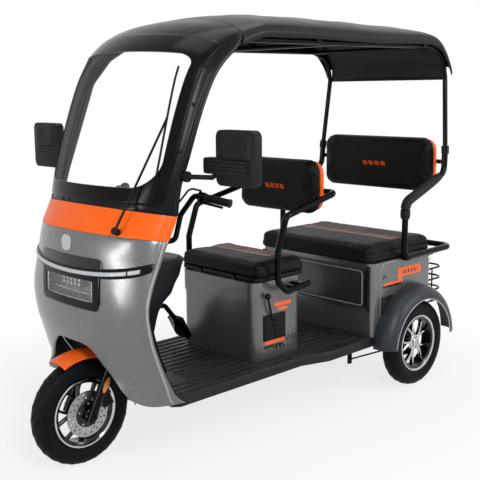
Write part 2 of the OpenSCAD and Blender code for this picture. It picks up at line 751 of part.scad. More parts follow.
// Front mudguard over the wheel, carried by the fork legs
module front_mudguard() {
    place() steered() color(orange) {
        rotate([90, 0, 0]) rotate_extrude(angle = 122, start = 38, $fn = 96)
            polygon([[R + 12, -57], [R + 16, -57], [R + 26, -48], [R + 33, -28], [R + 35, 0], [R + 33, 28],
                [R + 26, 48], [R + 16, 57], [R + 12, 57], [R + 22, 46], [R + 29, 26], [R + 31, 0],
                [R + 29, -26], [R + 22, -46]]);
        pair() translate([-10, 52, R + 10]) cube([20, leg_y - 19 - 52, 14]);
    }
}

// Handlebar with its risers
module handlebar() {
    place() color(black) {
        bent(both([grip_end, grip_in, head_top + [-76.5, 150, 141.5], head_top + [-66.5, 125, 37.5],
            head_top + [-6.5, 44, 17.5]]), bar_d, 30);
        steered() translate([-fork_off, 0, head_up]) cylinder(h = 32, d = stem_d + 14);
        rod(head_top + [-3.5, 0, 24.9], head_top + [-23.35, 0, 59.24], 24);
    }
}

module grips() {
    place() color(black) pair() {
        u = unit(grip_in - grip_end);
        difference() {
            rod(grip_end - u * 6, grip_end + u * 108, 32);
            rod(grip_end, grip_end + u * 140, bar_d + 0.2);
        }
    }
}

// Brake levers with their perches
module brake_levers() {
    place() color(black) pair() {
        u = unit(grip_in - grip_end);
        difference() {
            rod(grip_end + u * 110, grip_end + u * 134, 40);
            rod(grip_end + u * 100, grip_end + u * 150, bar_d + 0.2);
        }
        bent([grip_end + u * 122 + [17, 6, 0], grip_end + u * 106 + [52, 20, -8],
            grip_end + u * 4 + [52, 20, -10]], 10, 16);
    }
}

module dash_pod() {
    place() color(black) translate(head_top + [-23.5, 0, 59.5]) rotate([0, -30, 0]) {
        plate(90, 170, 46, 26);
    }
}

module brake_cable() {
    place() color(black) bent([head_top + [-99, 254, 243.9], head_top + [-55.5, 236, 257.5],
        head_top + [-16.5, 190, 181.5], head_top + [-11.5, 120, 71.5], head_top + [-6.5, 46, 32.9]], 8, 24);
}

// Tyre of revolution about the wheel's axle, which lies along y
module tyre() {
    h = tyre_w / 2;
    rotate([90, 0, 0]) rotate_extrude($fn = 96)
        polygon([[rim_r - 6, -0.68 * h], [rim_r + 0.3, -0.7 * h], [rim_r + 4, -0.84 * h], [rim_r + 24, -h],
            [R - 26, -0.96 * h], [R - 10, -0.78 * h], [R - 2, -0.42 * h], [R, 0],
            [R - 2, 0.42 * h], [R - 10, 0.78 * h], [R - 26, 0.96 * h],
            [rim_r + 24, h], [rim_r + 4, 0.84 * h], [rim_r + 0.3, 0.7 * h], [rim_r - 6, 0.68 * h]]);
}

// Cast wheel with forked spokes
module cast_wheel(hub_r, hub_h, bore) {
    h = tyre_w / 2;
    rotate([90, 0, 0]) {
        rotate_extrude($fn = 96)
            polygon([[rim_r - 24, -0.62 * h], [rim_r - 18, -0.8 * h], [rim_r, -0.8 * h], [rim_r, -0.72 * h],
                [rim_r - 6.2, -0.7 * h], [rim_r - 6.2, 0.7 * h], [rim_r, 0.72 * h], [rim_r, 0.8 * h],
                [rim_r - 18, 0.8 * h], [rim_r - 24, 0.62 * h]]);
        difference() {
            union() {
                cylinder(h = hub_h, r = hub_r, center = true);
                for (i = [0 : spokes - 1], s = [-1, 1]) rotate(i * 360 / spokes) rotate(s * 6)
                    translate([hub_r - 4, -5, -9]) cube([rim_r - hub_r - 16, 10, 18]);
            }
            cylinder(h = 200, d = bore, center = true);
        }
    }
}

module front_tyre() {
    place() translate([F, 0, R]) color(black) tyre();
}

module front_rim() {
    place() translate([F, 0, R]) color(black) cast_wheel(36, 70, 14);
}

// Drilled brake disc on the left of the front wheel
module brake_disc() {
    place() translate([F, 0, R]) color(silver) rotate([90, 0, 0]) translate([0, 0, -50]) difference() {
        cylinder(h = 4, r = 92);
        translate([0, 0, -1]) cylinder(h = 6, d = 15);
        for (i = [0 : 17], r = [66, 80]) rotate(i * 20 + r) translate([r, 0, -1]) cylinder(h = 6, d = 8);
    }
}

module tyre_left() {
    place() translate([0, half_track, R]) color(black) tyre();
}

module rim_left() {
    place() translate([0, half_track, R]) color(silver) cast_wheel(40, 50, 20);
}

module tyre_right() {
    place() translate([0, -half_track, R]) color(black) tyre();
}

module rim_right() {
    place() translate([0, -half_track, R]) color(silver) cast_wheel(40, 50, 20);
}

chassis_frame();
floor_board();
front_fairing();
fairing_band();
leg_shield();
headlamp_bezel();
headlamp_lens();
light_bar();
windscreen_frame();
windscreen();
wiper();
roof_panel();
rear_visor();
roof_frame();
front_box();
front_seat_frame();
front_backrest();
backrest_shells();
parking_lever();
rear_box();
rear_seat_frame();
rear_backrest();
bench_cushion();
rear_mudguards();
tail_lamps();
basket();
rear_axle();
rear_springs();
battery_block();
brake_linkage();
brake_pedal();
mirrors();
mirror_glass();
fork();
front_mudguard();
handlebar();
grips();
brake_levers();
dash_pod();
brake_cable();
front_tyre();
front_rim();
brake_disc();
tyre_left();
rim_left();
tyre_right();
rim_right();
seat_base();
seat_cushion();
rear_hatch();
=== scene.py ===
import math

import bmesh
import bpy
from mathutils import Matrix, Vector


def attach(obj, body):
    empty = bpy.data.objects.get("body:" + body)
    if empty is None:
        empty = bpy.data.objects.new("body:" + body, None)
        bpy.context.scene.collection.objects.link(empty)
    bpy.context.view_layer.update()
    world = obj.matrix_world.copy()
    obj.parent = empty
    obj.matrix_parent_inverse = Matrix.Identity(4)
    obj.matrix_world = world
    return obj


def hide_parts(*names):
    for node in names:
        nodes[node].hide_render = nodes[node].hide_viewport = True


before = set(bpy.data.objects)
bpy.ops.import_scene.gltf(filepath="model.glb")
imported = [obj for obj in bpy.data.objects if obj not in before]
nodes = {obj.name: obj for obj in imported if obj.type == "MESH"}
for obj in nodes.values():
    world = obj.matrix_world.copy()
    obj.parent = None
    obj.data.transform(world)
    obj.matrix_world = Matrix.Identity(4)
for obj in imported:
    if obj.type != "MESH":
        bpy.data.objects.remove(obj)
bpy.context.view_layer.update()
scene = bpy.context.scene

# Millimetres from the rear axle, as in the part's source, with the rake in degrees
FRONT = 1680.0
REAR = -744.5
WHEEL_R = 211.0
HALF_TRACK = 388.0
ROOF_Z = 1766.0
ROOF_HALF = 400.0
NOSE_HALF = 381.0
FRONT_BOX_HALF, REAR_BOX_HALF = 238.0, 365.0
RAKE = 26.0
LEG_Y = 82.0
LAMP_LOW, LAMP_HIGH = 648.0, 802.0
LENS_LOW, LENS_HIGH = 676.0, 762.0
SIDES = (("left", 1), ("right", -1))


def at(x, y, z):
    """A place given in millimetres from the rear axle, in metres."""
    return Vector(((x + REAR) / 1000, y / 1000, z / 1000))


# Surfaces of the body, from the rows of the part's source: a is the angle from the middle, w the depth inwards

NOSE = ((262, 300, -262, 335), (280, 235, -236, 336), (304, 140, -210, 338), (330, 78, -192, 342),
        (385, 24, -158, 353), (440, 24, -128, 363), (508, 30, -96, 373), (560, 36, -76, 379),
        (660, 37, -59, 381), (740, 37, -77, 381), (830, 35, -117, 381), (885, 34, -142, 381),
        (930, 26, -165, 381), (980, 0, -189, 382), (1030, -28, -212, 384))
ARCH = ((0, 508), (12, 505), (20, 486), (29, 435), (38, 385), (53, 330), (64, 304), (76, 280), (90, 264))
SCREEN = ((0, -30, 1032, -200, 1000, 384), (1, -54, 1110, -216, 1110, 390), (2, -85, 1210, -248, 1200, 396),
          (3, -117, 1310, -288, 1310, 399), (4, -150, 1410, -330, 1410, 400), (5, -184, 1510, -380, 1500, 400),
          (6, -230, 1596, -430, 1556, 400), (7, -305, 1664, -485, 1600, 400), (8, -400, 1708, -508, 1630, 400),
          (9, -512, ROOF_Z - 33, -514, 1650, 400))
ROOF = ((0, FRONT - 518, 33, 1650), (1, 1075, 17, 1678), (2, 990, 9, 1690), (3, 735, 0, 1689),
        (4, 344, 4, 1684), (5, 0, 14, 1691), (6, -110, 28, 1688), (7, -170, 52, 1664), (8, -215, 96, 1622),
        (9, -245, 142, 1580), (10, -262, 184, 1546))
RIM_DROP = 34
PANE_MID, PANE_HALF = 3.675, 3.425


def curve(rows, t, c):
    """Cubic curve through column c of a table whose first column rises."""
    i = max([0] + [k for k in range(len(rows) - 1) if rows[k][0] <= t])

    def slope(k):
        low, high = rows[max(0, k - 1)], rows[min(len(rows) - 1, k + 1)]
        return (high[c] - low[c]) / (high[0] - low[0])

    h = rows[i + 1][0] - rows[i][0]
    s = min(1.0, max(0.0, (t - rows[i][0]) / h))
    return ((2 * s ** 3 - 3 * s ** 2 + 1) * rows[i][c] + (s ** 3 - 2 * s ** 2 + s) * h * slope(i)
            + (3 * s ** 2 - 2 * s ** 3) * rows[i + 1][c] + (s ** 3 - s ** 2) * h * slope(i + 1))


def bump(x, centre, width):
    """A soft swelling of height 1."""
    return math.exp(-((x - centre) / width) ** 2)


def ridge(a):
    """The raised line beside the body's rear edge, as a move outwards."""
    return -4.5 * bump(abs(a), 83.0, 1.6)


def on_nose(a, z, w):
    nose, edge, half = (curve(NOSE, z, c) for c in (1, 2, 3))
    r = math.radians(a)
    return at(FRONT + edge + (nose - edge - w) * math.cos(r), (half - w) * math.sin(r), z)


def on_screen(a, s, w=0.0):
    xc, zc, xe, ze, half = (curve(SCREEN, s, c) for c in (1, 2, 3, 4, 5))
    k = min(1.0, max(0.0, (s - 5) / 4))
    r = math.radians(a)
    return at(FRONT + xe + (xc - xe - w * (1 - k)) * math.cos(r), (half - w) * math.sin(r),
              ze + (zc - ze - w * k) * math.cos(r))


def on_roof(a, s, w=0.0):
    x, drop, edge = (curve(ROOF, s, c) for c in (1, 2, 3))
    r = math.radians(a)
    return at(x, (ROOF_HALF - w) * math.sin(r), edge + (ROOF_Z - drop - edge - w) * math.cos(r))


def arch_z(a):
    return curve(ARCH, abs(a), 1)


def band_low(a):
    return 912 + 26 * math.cos(math.radians(a))


def band_high(a):
    return 1000 + 32 * math.cos(math.radians(a))


def strip_mid(a):
    """Height of the middle of the light strip."""
    return 835 - 50 * math.cos(math.radians(a))


def angle_at(y, half):
    """The surface's angle, in degrees, at a distance y from the middle."""
    return math.degrees(math.asin(max(-1, min(1, y / half))))


def steps(low, high, count, extra=()):
    """Evenly spread values with a few exact ones among them."""
    even = [low + (high - low) * i / count for i in range(count + 1)]
    return sorted(set(round(v, 4) for v in even + list(extra)))


# Camera, solved from the photograph: pixels, degrees and metres

PHOTO_SIDE = 480
FOCAL_PIXELS = 842.04
SHIFT_PIXELS = (-1.47, -14.26)
CAMERA_TURN = (-133.677, -9.071, -0.529)
CAMERA_PLACE = (2.6552, 2.7269, 1.4457)
SENSOR = 36


def set_camera():
    yaw, pitch, roll = (math.radians(v) for v in CAMERA_TURN)
    ahead = Vector((math.cos(pitch) * math.cos(yaw), math.cos(pitch) * math.sin(yaw), math.sin(pitch)))
    right = ahead.cross(Vector((0, 0, 1))).normalized()
    above = right.cross(ahead)
    side = right * math.cos(roll) + above * math.sin(roll)
    top = above * math.cos(roll) - right * math.sin(roll)
    data = bpy.data.cameras.new("photo_camera")
    data.sensor_width = SENSOR
    data.lens = FOCAL_PIXELS / PHOTO_SIDE * SENSOR
    data.shift_x, data.shift_y = (v / PHOTO_SIDE for v in SHIFT_PIXELS)
    data.clip_start, data.clip_end = 0.05, 100
    cam = bpy.data.objects.new("photo_camera", data)
    turn = Matrix((side, top, -ahead)).transposed().to_4x4()
    cam.matrix_world = Matrix.Translation(CAMERA_PLACE) @ turn
    scene.collection.objects.link(cam)
    scene.camera = cam


set_camera()


# Node sheets

class Net:
    """Nodes of one material or group."""

    def __init__(self, tree):
        self.tree = tree

    def feed(self, node, inputs):
        """Links sockets to a node's inputs, and sets the inputs that have plain values."""
        for key, value in inputs.items():
            if isinstance(value, bpy.types.NodeSocket):
                self.tree.links.new(value, node.inputs[key])
            else:
                node.inputs[key].default_value = value

    def add(self, kind, inputs=None, **props):
        node = self.tree.nodes.new("ShaderNode" + kind)
        for key, value in props.items():
            setattr(node, key, value)
        self.feed(node, inputs or {})
        return node

    def math(self, operation, a, b=0.0, c=0.0):
        return self.add("Math", {0: a, 1: b, 2: c}, operation=operation).outputs[0]

    def times(self, first, *others):
        for other in others:
            first = self.math("MULTIPLY", first, other)
        return first

    def line(self, value, slope, start):
        return self.math("MULTIPLY_ADD", value, slope, start)

    def less(self, a, b):
        return self.math("SUBTRACT", a, b)

    def most(self, a, b):
        return self.math("MAXIMUM", a, b)

    def size(self, value):
        return self.math("ABSOLUTE", value)

    def above(self, value, limit):
        return self.math("GREATER_THAN", value, limit)

    def below(self, value, limit):
        return self.math("LESS_THAN", value, limit)

    def between(self, value, low, high):
        return self.times(self.above(value, low), self.below(value, high))

    def near(self, value, middle, reach):
        return self.below(self.size(self.less(value, middle)), reach)

    def bars(self, value, rate, gap):
        """1 on bars that repeat, and 0 in the gaps between them."""
        return self.above(self.math("FRACT", self.times(value, rate)), gap)

    def split(self, place):
        return self.add("SeparateXYZ", {0: place}).outputs

    def facing(self, axis):
        return self.split(self.add("NewGeometry").outputs["Normal"])[axis]

    def mix(self, factor, a, b):
        return self.add("Mix", {0: factor, 6: a, 7: b}, data_type="RGBA").outputs[2]

    def ramp(self, value, low, high, to_low=0.0, to_high=1.0):
        return self.add("MapRange", {0: value, 1: low, 2: high, 3: to_low, 4: to_high}).outputs[0]

    def noise(self, place, scale, detail=3.0, rough=0.5):
        return self.add("TexNoise", {"Vector": place, "Scale": scale, "Detail": detail,
                                     "Roughness": rough}).outputs[0]

    def cells(self, place, scale, feature="F1", metric="EUCLIDEAN"):
        return self.add("TexVoronoi", {"Vector": place, "Scale": scale}, feature=feature, distance=metric).outputs

    def bumps(self, height, strength, distance=0.001):
        return self.add("Bump", {"Height": height, "Strength": strength, "Distance": distance}).outputs[0]

    def seen_directly(self):
        """1 for what the camera sees itself, in a reflection or through glass."""
        path = self.add("LightPath").outputs
        return self.most(path["Is Camera Ray"], self.most(path["Is Glossy Ray"], path["Is Transmission Ray"]))


def effect(build, size_name, size):
    """A node group that takes a place and one size. build returns its outputs by name."""
    tree = bpy.data.node_groups.new(build.__name__, "ShaderNodeTree")

    def socket(label, way, kind="Float"):
        return tree.interface.new_socket(name=label, in_out=way, socket_type="NodeSocket" + kind)

    socket("Place", "INPUT", "Vector")
    socket(size_name, "INPUT").default_value = size
    net = Net(tree)
    given = tree.nodes.new("NodeGroupInput").outputs
    made = build(net, given["Place"], given[size_name])
    for label in made:
        socket(label, "OUTPUT")
    net.feed(tree.nodes.new("NodeGroupOutput"), made)
    return tree


def moulded_grain(net, place, scale):
    waves = net.noise(place, net.times(scale, 0.35), 2.0)
    return {"Height": net.line(net.cells(place, scale)["Distance"], 0.6, waves)}


def paint_flake(net, place, scale):
    chips = net.add("SeparateColor", {0: net.cells(place, scale)["Color"]}).outputs
    return {"Shade": chips[0], "Height": chips[1]}


def handling_marks(net, place, scale):
    broad = net.noise(place, scale, 5.0, 0.6)
    stretch = net.add("Mapping", {"Vector": place, "Scale": (1.0, 0.12, 9.0), "Rotation": (0.5, 0.3, 0.9)})
    lines = net.noise(stretch.outputs[0], net.times(scale, 9.0), 6.0, 0.7)
    return {"Smudge": net.ramp(broad, 0.35, 0.7), "Scratch": net.ramp(lines, 0.62, 0.72)}


def settled_dust(net, place, scale):
    patch = net.ramp(net.noise(place, scale, 6.0, 0.65), 0.4, 0.75)
    return {"Mask": net.times(net.ramp(net.facing(2), 0.2, 1.0), patch)}


def rubbed_edge(net, place, width):
    round_normal = net.add("Bevel", {"Radius": width}, samples=4).outputs[0]
    true_normal = net.add("NewGeometry").outputs["Normal"]
    same = net.add("VectorMath", {0: round_normal, 1: true_normal}, operation="DOT_PRODUCT").outputs["Value"]
    patch = net.ramp(net.noise(place, 60.0, 4.0), 0.42, 0.62)
    return {"Mask": net.times(net.ramp(same, 0.97, 0.75), patch)}


GRAIN = effect(moulded_grain, "Scale", 400.0)
FLAKE = effect(paint_flake, "Scale", 700.0)
MARKS = effect(handling_marks, "Scale", 6.0)
DUST = effect(settled_dust, "Scale", 14.0)
RUB = effect(rubbed_edge, "Width", 0.002)


def begin(name):
    """A new material: its net, its shader and its Object coordinates."""
    made = bpy.data.materials.new(name)
    made.use_nodes = True
    net = Net(made.node_tree)
    shader = made.node_tree.nodes["Principled BSDF"]
    place = net.add("TexCoord").outputs["Object"]
    return made, net, shader, place


def use(net, tree, place, **sizes):
    named = {key.capitalize(): value for key, value in sizes.items()}
    return net.add("Group", {"Place": place, **named}, node_tree=tree).outputs


def shade(colour, k):
    return (colour[0] * k, colour[1] * k, colour[2] * k, 1.0)


def grey(value):
    return (value, value, value, 1.0)


def dusted(net, place, tone, share, colour):
    return net.mix(net.times(use(net, DUST, place)["Mask"], share), tone, (*colour, 1.0))


def plain_finish(name, colour, rough, vary=0.12, grain=600.0, depth=0.05, metallic=0.0, coat=0.0,
                 dust=0.0, rub=None, spec=0.4):
    """A painted, moulded or metal finish with grain, smudges, dust and rubbed edges."""
    made, net, shader, place = begin(name)
    marks = use(net, MARKS, place, scale=5.0)
    tone = net.mix(net.noise(place, 9.0, 4.0), shade(colour, 1 - vary), shade(colour, 1 + vary))
    if rub:
        tone = net.mix(use(net, RUB, place, width=0.0015)["Mask"], tone, (*rub, 1.0))
    if dust:
        tone = dusted(net, place, tone, dust, (0.4, 0.38, 0.35))
    worn = net.line(marks["Smudge"], rough * 0.35, rough * 0.85)
    net.feed(shader, {"Base Color": tone, "Roughness": net.line(marks["Scratch"], 0.06, worn),
                      "Normal": net.bumps(use(net, GRAIN, place, scale=grain)["Height"], depth),
                      "Metallic": metallic, "Coat Weight": coat, "Coat Roughness": 0.04,
                      "Specular IOR Level": spec})
    return made


def flake_paint(name, colour, rough=0.3, metallic=0.6, coat=0.3, sparkle=0.2, spec=0.4, dark_above=None):
    """Metallic body paint under a clear coat, near black above a height where one is given."""
    made, net, shader, place = begin(name)
    flake = use(net, FLAKE, place, scale=650.0)
    marks = use(net, MARKS, place, scale=3.0)
    tone = net.mix(flake["Shade"], shade(colour, 1 - sparkle), shade(colour, 1 + sparkle))
    tone = dusted(net, place, tone, 0.05, (0.45, 0.43, 0.4))
    if dark_above:
        tone = net.mix(net.above(net.split(place)[2], dark_above), tone, grey(0.004))
    net.feed(shader, {"Base Color": tone, "Roughness": net.line(marks["Smudge"], 0.06, rough),
                      "Normal": net.bumps(flake["Height"], 0.03), "Metallic": metallic, "Coat Weight": coat,
                      "Coat Roughness": 0.12, "Specular IOR Level": spec})
    return made


def tinted_clear(name, colour, rough, cover):
    """Clear plastic or glass, seen through by its alpha so that it stays thin."""
    made, net, shader, place = begin(name)
    marks = use(net, MARKS, place, scale=4.0)
    net.feed(shader, {"Base Color": (*colour, 1.0), "Roughness": net.line(marks["Smudge"], 0.03, rough),
                      "Alpha": net.line(marks["Scratch"], 0.04, cover)})
    return made


def round_frame(net, flat, half, centre, low_corner, high_corner):
    """1 outside a rectangle with round corners, in flat metres, and 0 inside it."""
    parts = net.split(flat)
    up = net.less(parts[1], centre)
    corner = net.ramp(up, -0.02, 0.02, low_corner, high_corner)
    a, b = (net.most(net.less(net.size(way), net.less(reach, corner)), 0.0)
            for way, reach in ((parts[0], half[0]), (up, half[1])))
    far = net.math("SQRT", net.math("ADD", net.times(a, a), net.times(b, b)))
    return net.ramp(net.less(far, corner), -0.0008, 0.0008)


def bordered_screen(name):
    """Clear sheet with a printed black border, laid out on the sheet's own flat map."""
    made, net, shader, place = begin(name)
    flat = net.add("UVMap", uv_map="flat").outputs[0]
    border = round_frame(net, flat, (0.348, 0.256), 0.3485, 0.105, 0.055)
    smudge = use(net, MARKS, place, scale=4.0)["Smudge"]
    net.feed(shader, {"Base Color": net.mix(border, (0.9, 0.92, 0.94, 1), (0.002, 0.002, 0.0022, 1)),
                      "Alpha": net.ramp(border, 0.0, 1.0, 0.035, 1.0),
                      "Roughness": net.line(smudge, 0.03, net.line(border, 0.16, 0.02)),
                      "Specular IOR Level": 0.1})
    return made


def seat_leather(name, print_at=None, mark_at=None):
    """Black leatherette. A seat has a row of red bars and a row of pale dashes at print_at = (x, y0, y1), in
    metres; a back pad has a small mark of four orange bars at mark_at = (height, half width)."""
    made, net, shader, place = begin(name)
    crease = net.ramp(net.cells(place, 420.0, "DISTANCE_TO_EDGE")["Distance"], 0.0, 0.25)
    soft = net.noise(place, 25.0, 5.0)
    smudge = use(net, MARKS, place, scale=7.0)["Smudge"]
    tone = net.mix(soft, grey(0.003), grey(0.006))
    tone = dusted(net, place, tone, 0.015, (0.3, 0.29, 0.28))
    along, across, height = net.split(place)
    if print_at:
        mid, low, high = print_at
        up = net.less(along, mid)
        slant = net.line(up, 0.6, across)
        within = net.times(net.between(across, low, high), net.ramp(net.facing(2), 0.8, 0.9))
        red = net.times(net.bars(slant, 13.0, 0.3), net.near(up, -0.008, 0.022), within)
        pale = net.times(net.bars(slant, 60.0, 0.4), net.near(up, 0.030, 0.010), within)
        tone = net.mix(red, tone, (0.48, 0.06, 0.04, 1.0))
        tone = net.mix(pale, tone, (0.55, 0.53, 0.52, 1.0))
    if mark_at:
        up = net.less(height, mark_at[0])
        slant = net.line(up, 0.5, across)
        within = net.times(net.near(up, 0.0, 0.011), net.near(slant, 0.0, mark_at[1]))
        mark = net.times(net.bars(slant, 2.0 / mark_at[1], 0.3), within, net.ramp(net.facing(0), 0.6, 0.7))
        tone = net.mix(mark, tone, (0.62, 0.075, 0.008, 1.0))
    relief = net.line(crease, 0.7, net.times(soft, 0.5))
    net.feed(shader, {"Base Color": tone, "Roughness": net.line(smudge, 0.12, 0.42),
                      "Normal": net.bumps(relief, 0.2, 0.0008), "Specular IOR Level": 0.10})
    return made


def stripe_print(name, layout):
    """Printed film on the boxes: bars and squares laid out on its flat map, clear elsewhere.

    layout lists (left, right, low, high, colour, squares) in parts of the film."""
    made, net, shader, place = begin(name)
    parts = net.split(net.add("UVMap", uv_map="flat").outputs[0])
    lean = net.line(parts[1], 0.07, parts[0])
    seen = 0.0
    tone = grey(0.01)
    for left, right, low, high, colour, squares in layout:
        inside = net.times(net.between(lean, left, right), net.between(parts[1], low, high))
        if squares:
            across = net.math("FLOOR", net.times(lean, squares[0]))
            up = net.math("FLOOR", net.times(net.less(parts[1], low), squares[1]))
            inside = net.times(inside, net.math("FLOORED_MODULO", net.math("ADD", across, up), 2.0))
        tone = net.mix(inside, tone, (*colour, 1.0))
        seen = net.most(seen, inside)
    tone = net.mix(net.times(net.noise(place, 30.0), 0.1), tone, grey(0.1))
    smudge = use(net, MARKS, place, scale=8.0)["Smudge"]
    net.feed(shader, {"Base Color": tone, "Alpha": seen, "Roughness": net.line(smudge, 0.1, 0.28)})
    return made


def led_cells(name):
    """Reflector with a fine pattern of cells."""
    made, net, shader, place = begin(name)
    reach = net.cells(place, 45.0, metric="CHEBYCHEV")["Distance"]
    net.feed(shader, {"Base Color": net.mix(reach, (0.16, 0.16, 0.17, 1), (0.03, 0.03, 0.034, 1)),
                      "Roughness": net.ramp(reach, 0.0, 0.6, 0.12, 0.35), "Metallic": 0.8})
    return made


ORANGE = (0.93, 0.125, 0.006)
INK = (0.008, 0.008, 0.009)
MAT = {
    "gunmetal": flake_paint("gunmetal_paint", (0.150, 0.152, 0.155), rough=0.25),
    "box_gunmetal": flake_paint("box_gunmetal_paint", (0.150, 0.148, 0.145), coat=0.1, dark_above=0.6375),
    "dark_gunmetal": flake_paint("dark_gunmetal_paint", (0.052, 0.051, 0.048)),
    "orange": flake_paint("orange_paint", ORANGE, rough=0.34, metallic=0.0, coat=0.1, sparkle=0.05, spec=0.15),
    "charcoal": plain_finish("charcoal_gloss", (0.005, 0.0055, 0.0065), 0.26, grain=500.0, depth=0.02,
                             coat=0.04, dust=0.01, spec=0.10),
    "roofing": plain_finish("roof_charcoal", (0.014, 0.0145, 0.0155), 0.36, grain=500.0, depth=0.03,
                            coat=0.04, dust=0.02, spec=0.12),
    "moulded": plain_finish("moulded_black", (0.006, 0.0072, 0.0092), 0.44, grain=900.0, depth=0.15,
                            dust=0.012, spec=0.12),
    "gloss": plain_finish("gloss_black", (0.002, 0.002, 0.0025), 0.12, grain=300.0, depth=0.0, coat=0.06,
                          spec=0.11),
    "tube": plain_finish("tube_black", (0.002, 0.002, 0.0025), 0.09, grain=300.0, depth=0.0,
                         rub=(0.02, 0.02, 0.02), spec=0.11),
    "tread": plain_finish("tread_plastic", (0.010, 0.0115, 0.014), 0.46, grain=800.0, depth=0.2, dust=0.05,
                          rub=(0.05, 0.052, 0.056), spec=0.18),
    "guard": plain_finish("guard_plastic", (0.019, 0.0235, 0.031), 0.40, grain=900.0, depth=0.12, dust=0.03,
                          spec=0.3),
    "screen": bordered_screen("bordered_screen"),
    "cover": tinted_clear("lamp_cover", (0.6, 0.62, 0.65), 0.03, 0.12),
    "smoke": plain_finish("smoked_cover", (0.006, 0.0055, 0.005), 0.06, vary=0.4, depth=0.0, coat=0.3, spec=0.2),
    "white_lamp": plain_finish("white_lamp", (0.46, 0.48, 0.51), 0.2, vary=0.04, coat=0.3),
    "red_lamp": plain_finish("red_lamp", (0.45, 0.012, 0.012), 0.12, vary=0.2, coat=0.8),
    "amber": plain_finish("amber_lamp", (0.85, 0.24, 0.01), 0.15, vary=0.15, coat=0.8),
    "cells": led_cells("lamp_cells"),
    "leather": seat_leather("seat_leather"),
    "front_pad_print": seat_leather("front_pad_print", mark_at=(1.010, 0.062)),
    "rear_pad_print": seat_leather("rear_pad_print", mark_at=(1.068, 0.078)),
    "seat_print": seat_leather("seat_leather_print", (at(748, 0, 0).x, -0.235, 0.165)),
    "bench_print": seat_leather("bench_leather_print", (at(30, 0, 0).x, -0.300, 0.300)),
    "rubber": plain_finish("tyre_rubber", (0.005, 0.006, 0.0075), 0.55, grain=700.0, depth=0.2, dust=0.01,
                           spec=0.07),
    "alloy": plain_finish("bright_alloy", (0.52, 0.52, 0.53), 0.12, vary=0.08, metallic=1.0, depth=0.02),
    "black_alloy": plain_finish("black_alloy", (0.004, 0.004, 0.0045), 0.22, coat=0.2, rub=(0.12, 0.12, 0.12),
                                spec=0.25),
    "steel": plain_finish("brushed_steel", (0.36, 0.36, 0.37), 0.3, metallic=1.0, depth=0.1),
    "mirror": plain_finish("mirror_silver", (0.80, 0.82, 0.84), 0.02, vary=0.02, metallic=1.0, depth=0.0),
    "soft": plain_finish("soft_rubber", (0.006, 0.006, 0.007), 0.55, grain=1100.0, depth=0.3, spec=0.2),
    # Light grey: trim on the guard rims and box beads, and a painted highlight on the beads beside the body's rear
    # edges
    "trim_grey": plain_finish("trim_grey", (0.33, 0.33, 0.33), 0.3, vary=0.08, coat=0.2),
    "battery": plain_finish("battery_case", (0.05, 0.052, 0.055), 0.5),
    "box_print": stripe_print("box_print", [
        (0.05, 0.55, 0.16, 0.34, INK, None), (0.10, 0.62, 0.38, 0.62, ORANGE, None),
        (0.62, 0.98, 0.34, 0.68, INK, (20, 5.9)), (0.28, 0.58, 0.0, 0.17, INK, (20, 5.9))]),
    "mark_print": stripe_print("mark_print", [
        (0.12, 0.95, 0.55, 0.85, ORANGE, None), (0.30, 0.72, 0.18, 0.44, ORANGE, None)]),
    "side_print": stripe_print("side_print", [
        (0.02, 0.46, 0.10, 0.20, INK, None), (0.04, 0.50, 0.20, 0.34, ORANGE, None),
        (0.40, 0.50, 0.20, 0.62, ORANGE, None), (0.42, 0.98, 0.48, 0.94, ORANGE, None),
        (0.52, 0.90, 0.60, 0.82, INK, (26, 4.5)), (0.02, 0.13, 0.54, 0.78, INK, (28, 8.3))]),
}

# The finishes of each slot in the record, and the nodes of each finish

SLOT_FINISHES = {
    "body_grey": "gunmetal box_gunmetal dark_gunmetal guard trim_grey",
    "band_orange": "orange amber box_print mark_print side_print",
    "charcoal": "charcoal roofing",
    "black_plastic": "moulded gloss smoke",
    "black_metal": "tube",
    "floor_plastic": "tread",
    "screen_glass": "screen",
    "lamp_glass": "cover",
    "lamp_white": "white_lamp cells",
    "lamp_red": "red_lamp",
    "leather": "leather front_pad_print rear_pad_print seat_print bench_print",
    "tyre": "rubber",
    "rubber": "soft",
    "alloy": "alloy",
    "black_alloy": "black_alloy",
    "steel": "steel",
    "mirror": "mirror",
    "battery": "battery",
}
RECORD_SLOT = {finish: slot for slot, finishes in SLOT_FINISHES.items() for finish in finishes.split()}
NODE_FINISH = {
    "tube": "chassis_frame roof_frame front_seat_frame rear_seat_frame basket rear_axle rear_springs "
            "brake_linkage fork handlebar brake_levers brake_pedal",
    "tread": "floor_board",
    "gunmetal": "front_fairing rear_box",
    "box_gunmetal": "front_box",
    "dark_gunmetal": "rear_hatch",
    "orange": "fairing_band backrest_shells front_mudguard",
    "moulded": "leg_shield headlamp_bezel parking_lever dash_pod seat_base mirrors wiper",
    "cover": "headlamp_lens",
    "white_lamp": "light_bar",
    "charcoal": "windscreen_frame rear_visor",
    "roofing": "roof_panel",
    "screen": "windscreen",
    "leather": "front_backrest rear_backrest bench_cushion seat_cushion",
    "guard": "rear_mudguards",
    "red_lamp": "tail_lamps",
    "battery": "battery_block",
    "mirror": "mirror_glass",
    "soft": "grips brake_cable",
    "rubber": "front_tyre tyre_left tyre_right",
    "black_alloy": "front_rim",
    "alloy": "rim_left rim_right",
    "steel": "brake_disc",
}
ROUNDED = {"front_box": 3.0, "rear_box": 4.0, "rear_hatch": 3.0, "backrest_shells": 8.0, "seat_base": 3.0,
           "parking_lever": 1.5, "dash_pod": 5.0, "mirrors": 4.0, "tail_lamps": 4.0, "battery_block": 4.0,
           "floor_board": 2.0, "brake_pedal": 2.0}
WELD_REACH = 0.00002
NODE_SPLIT = 33


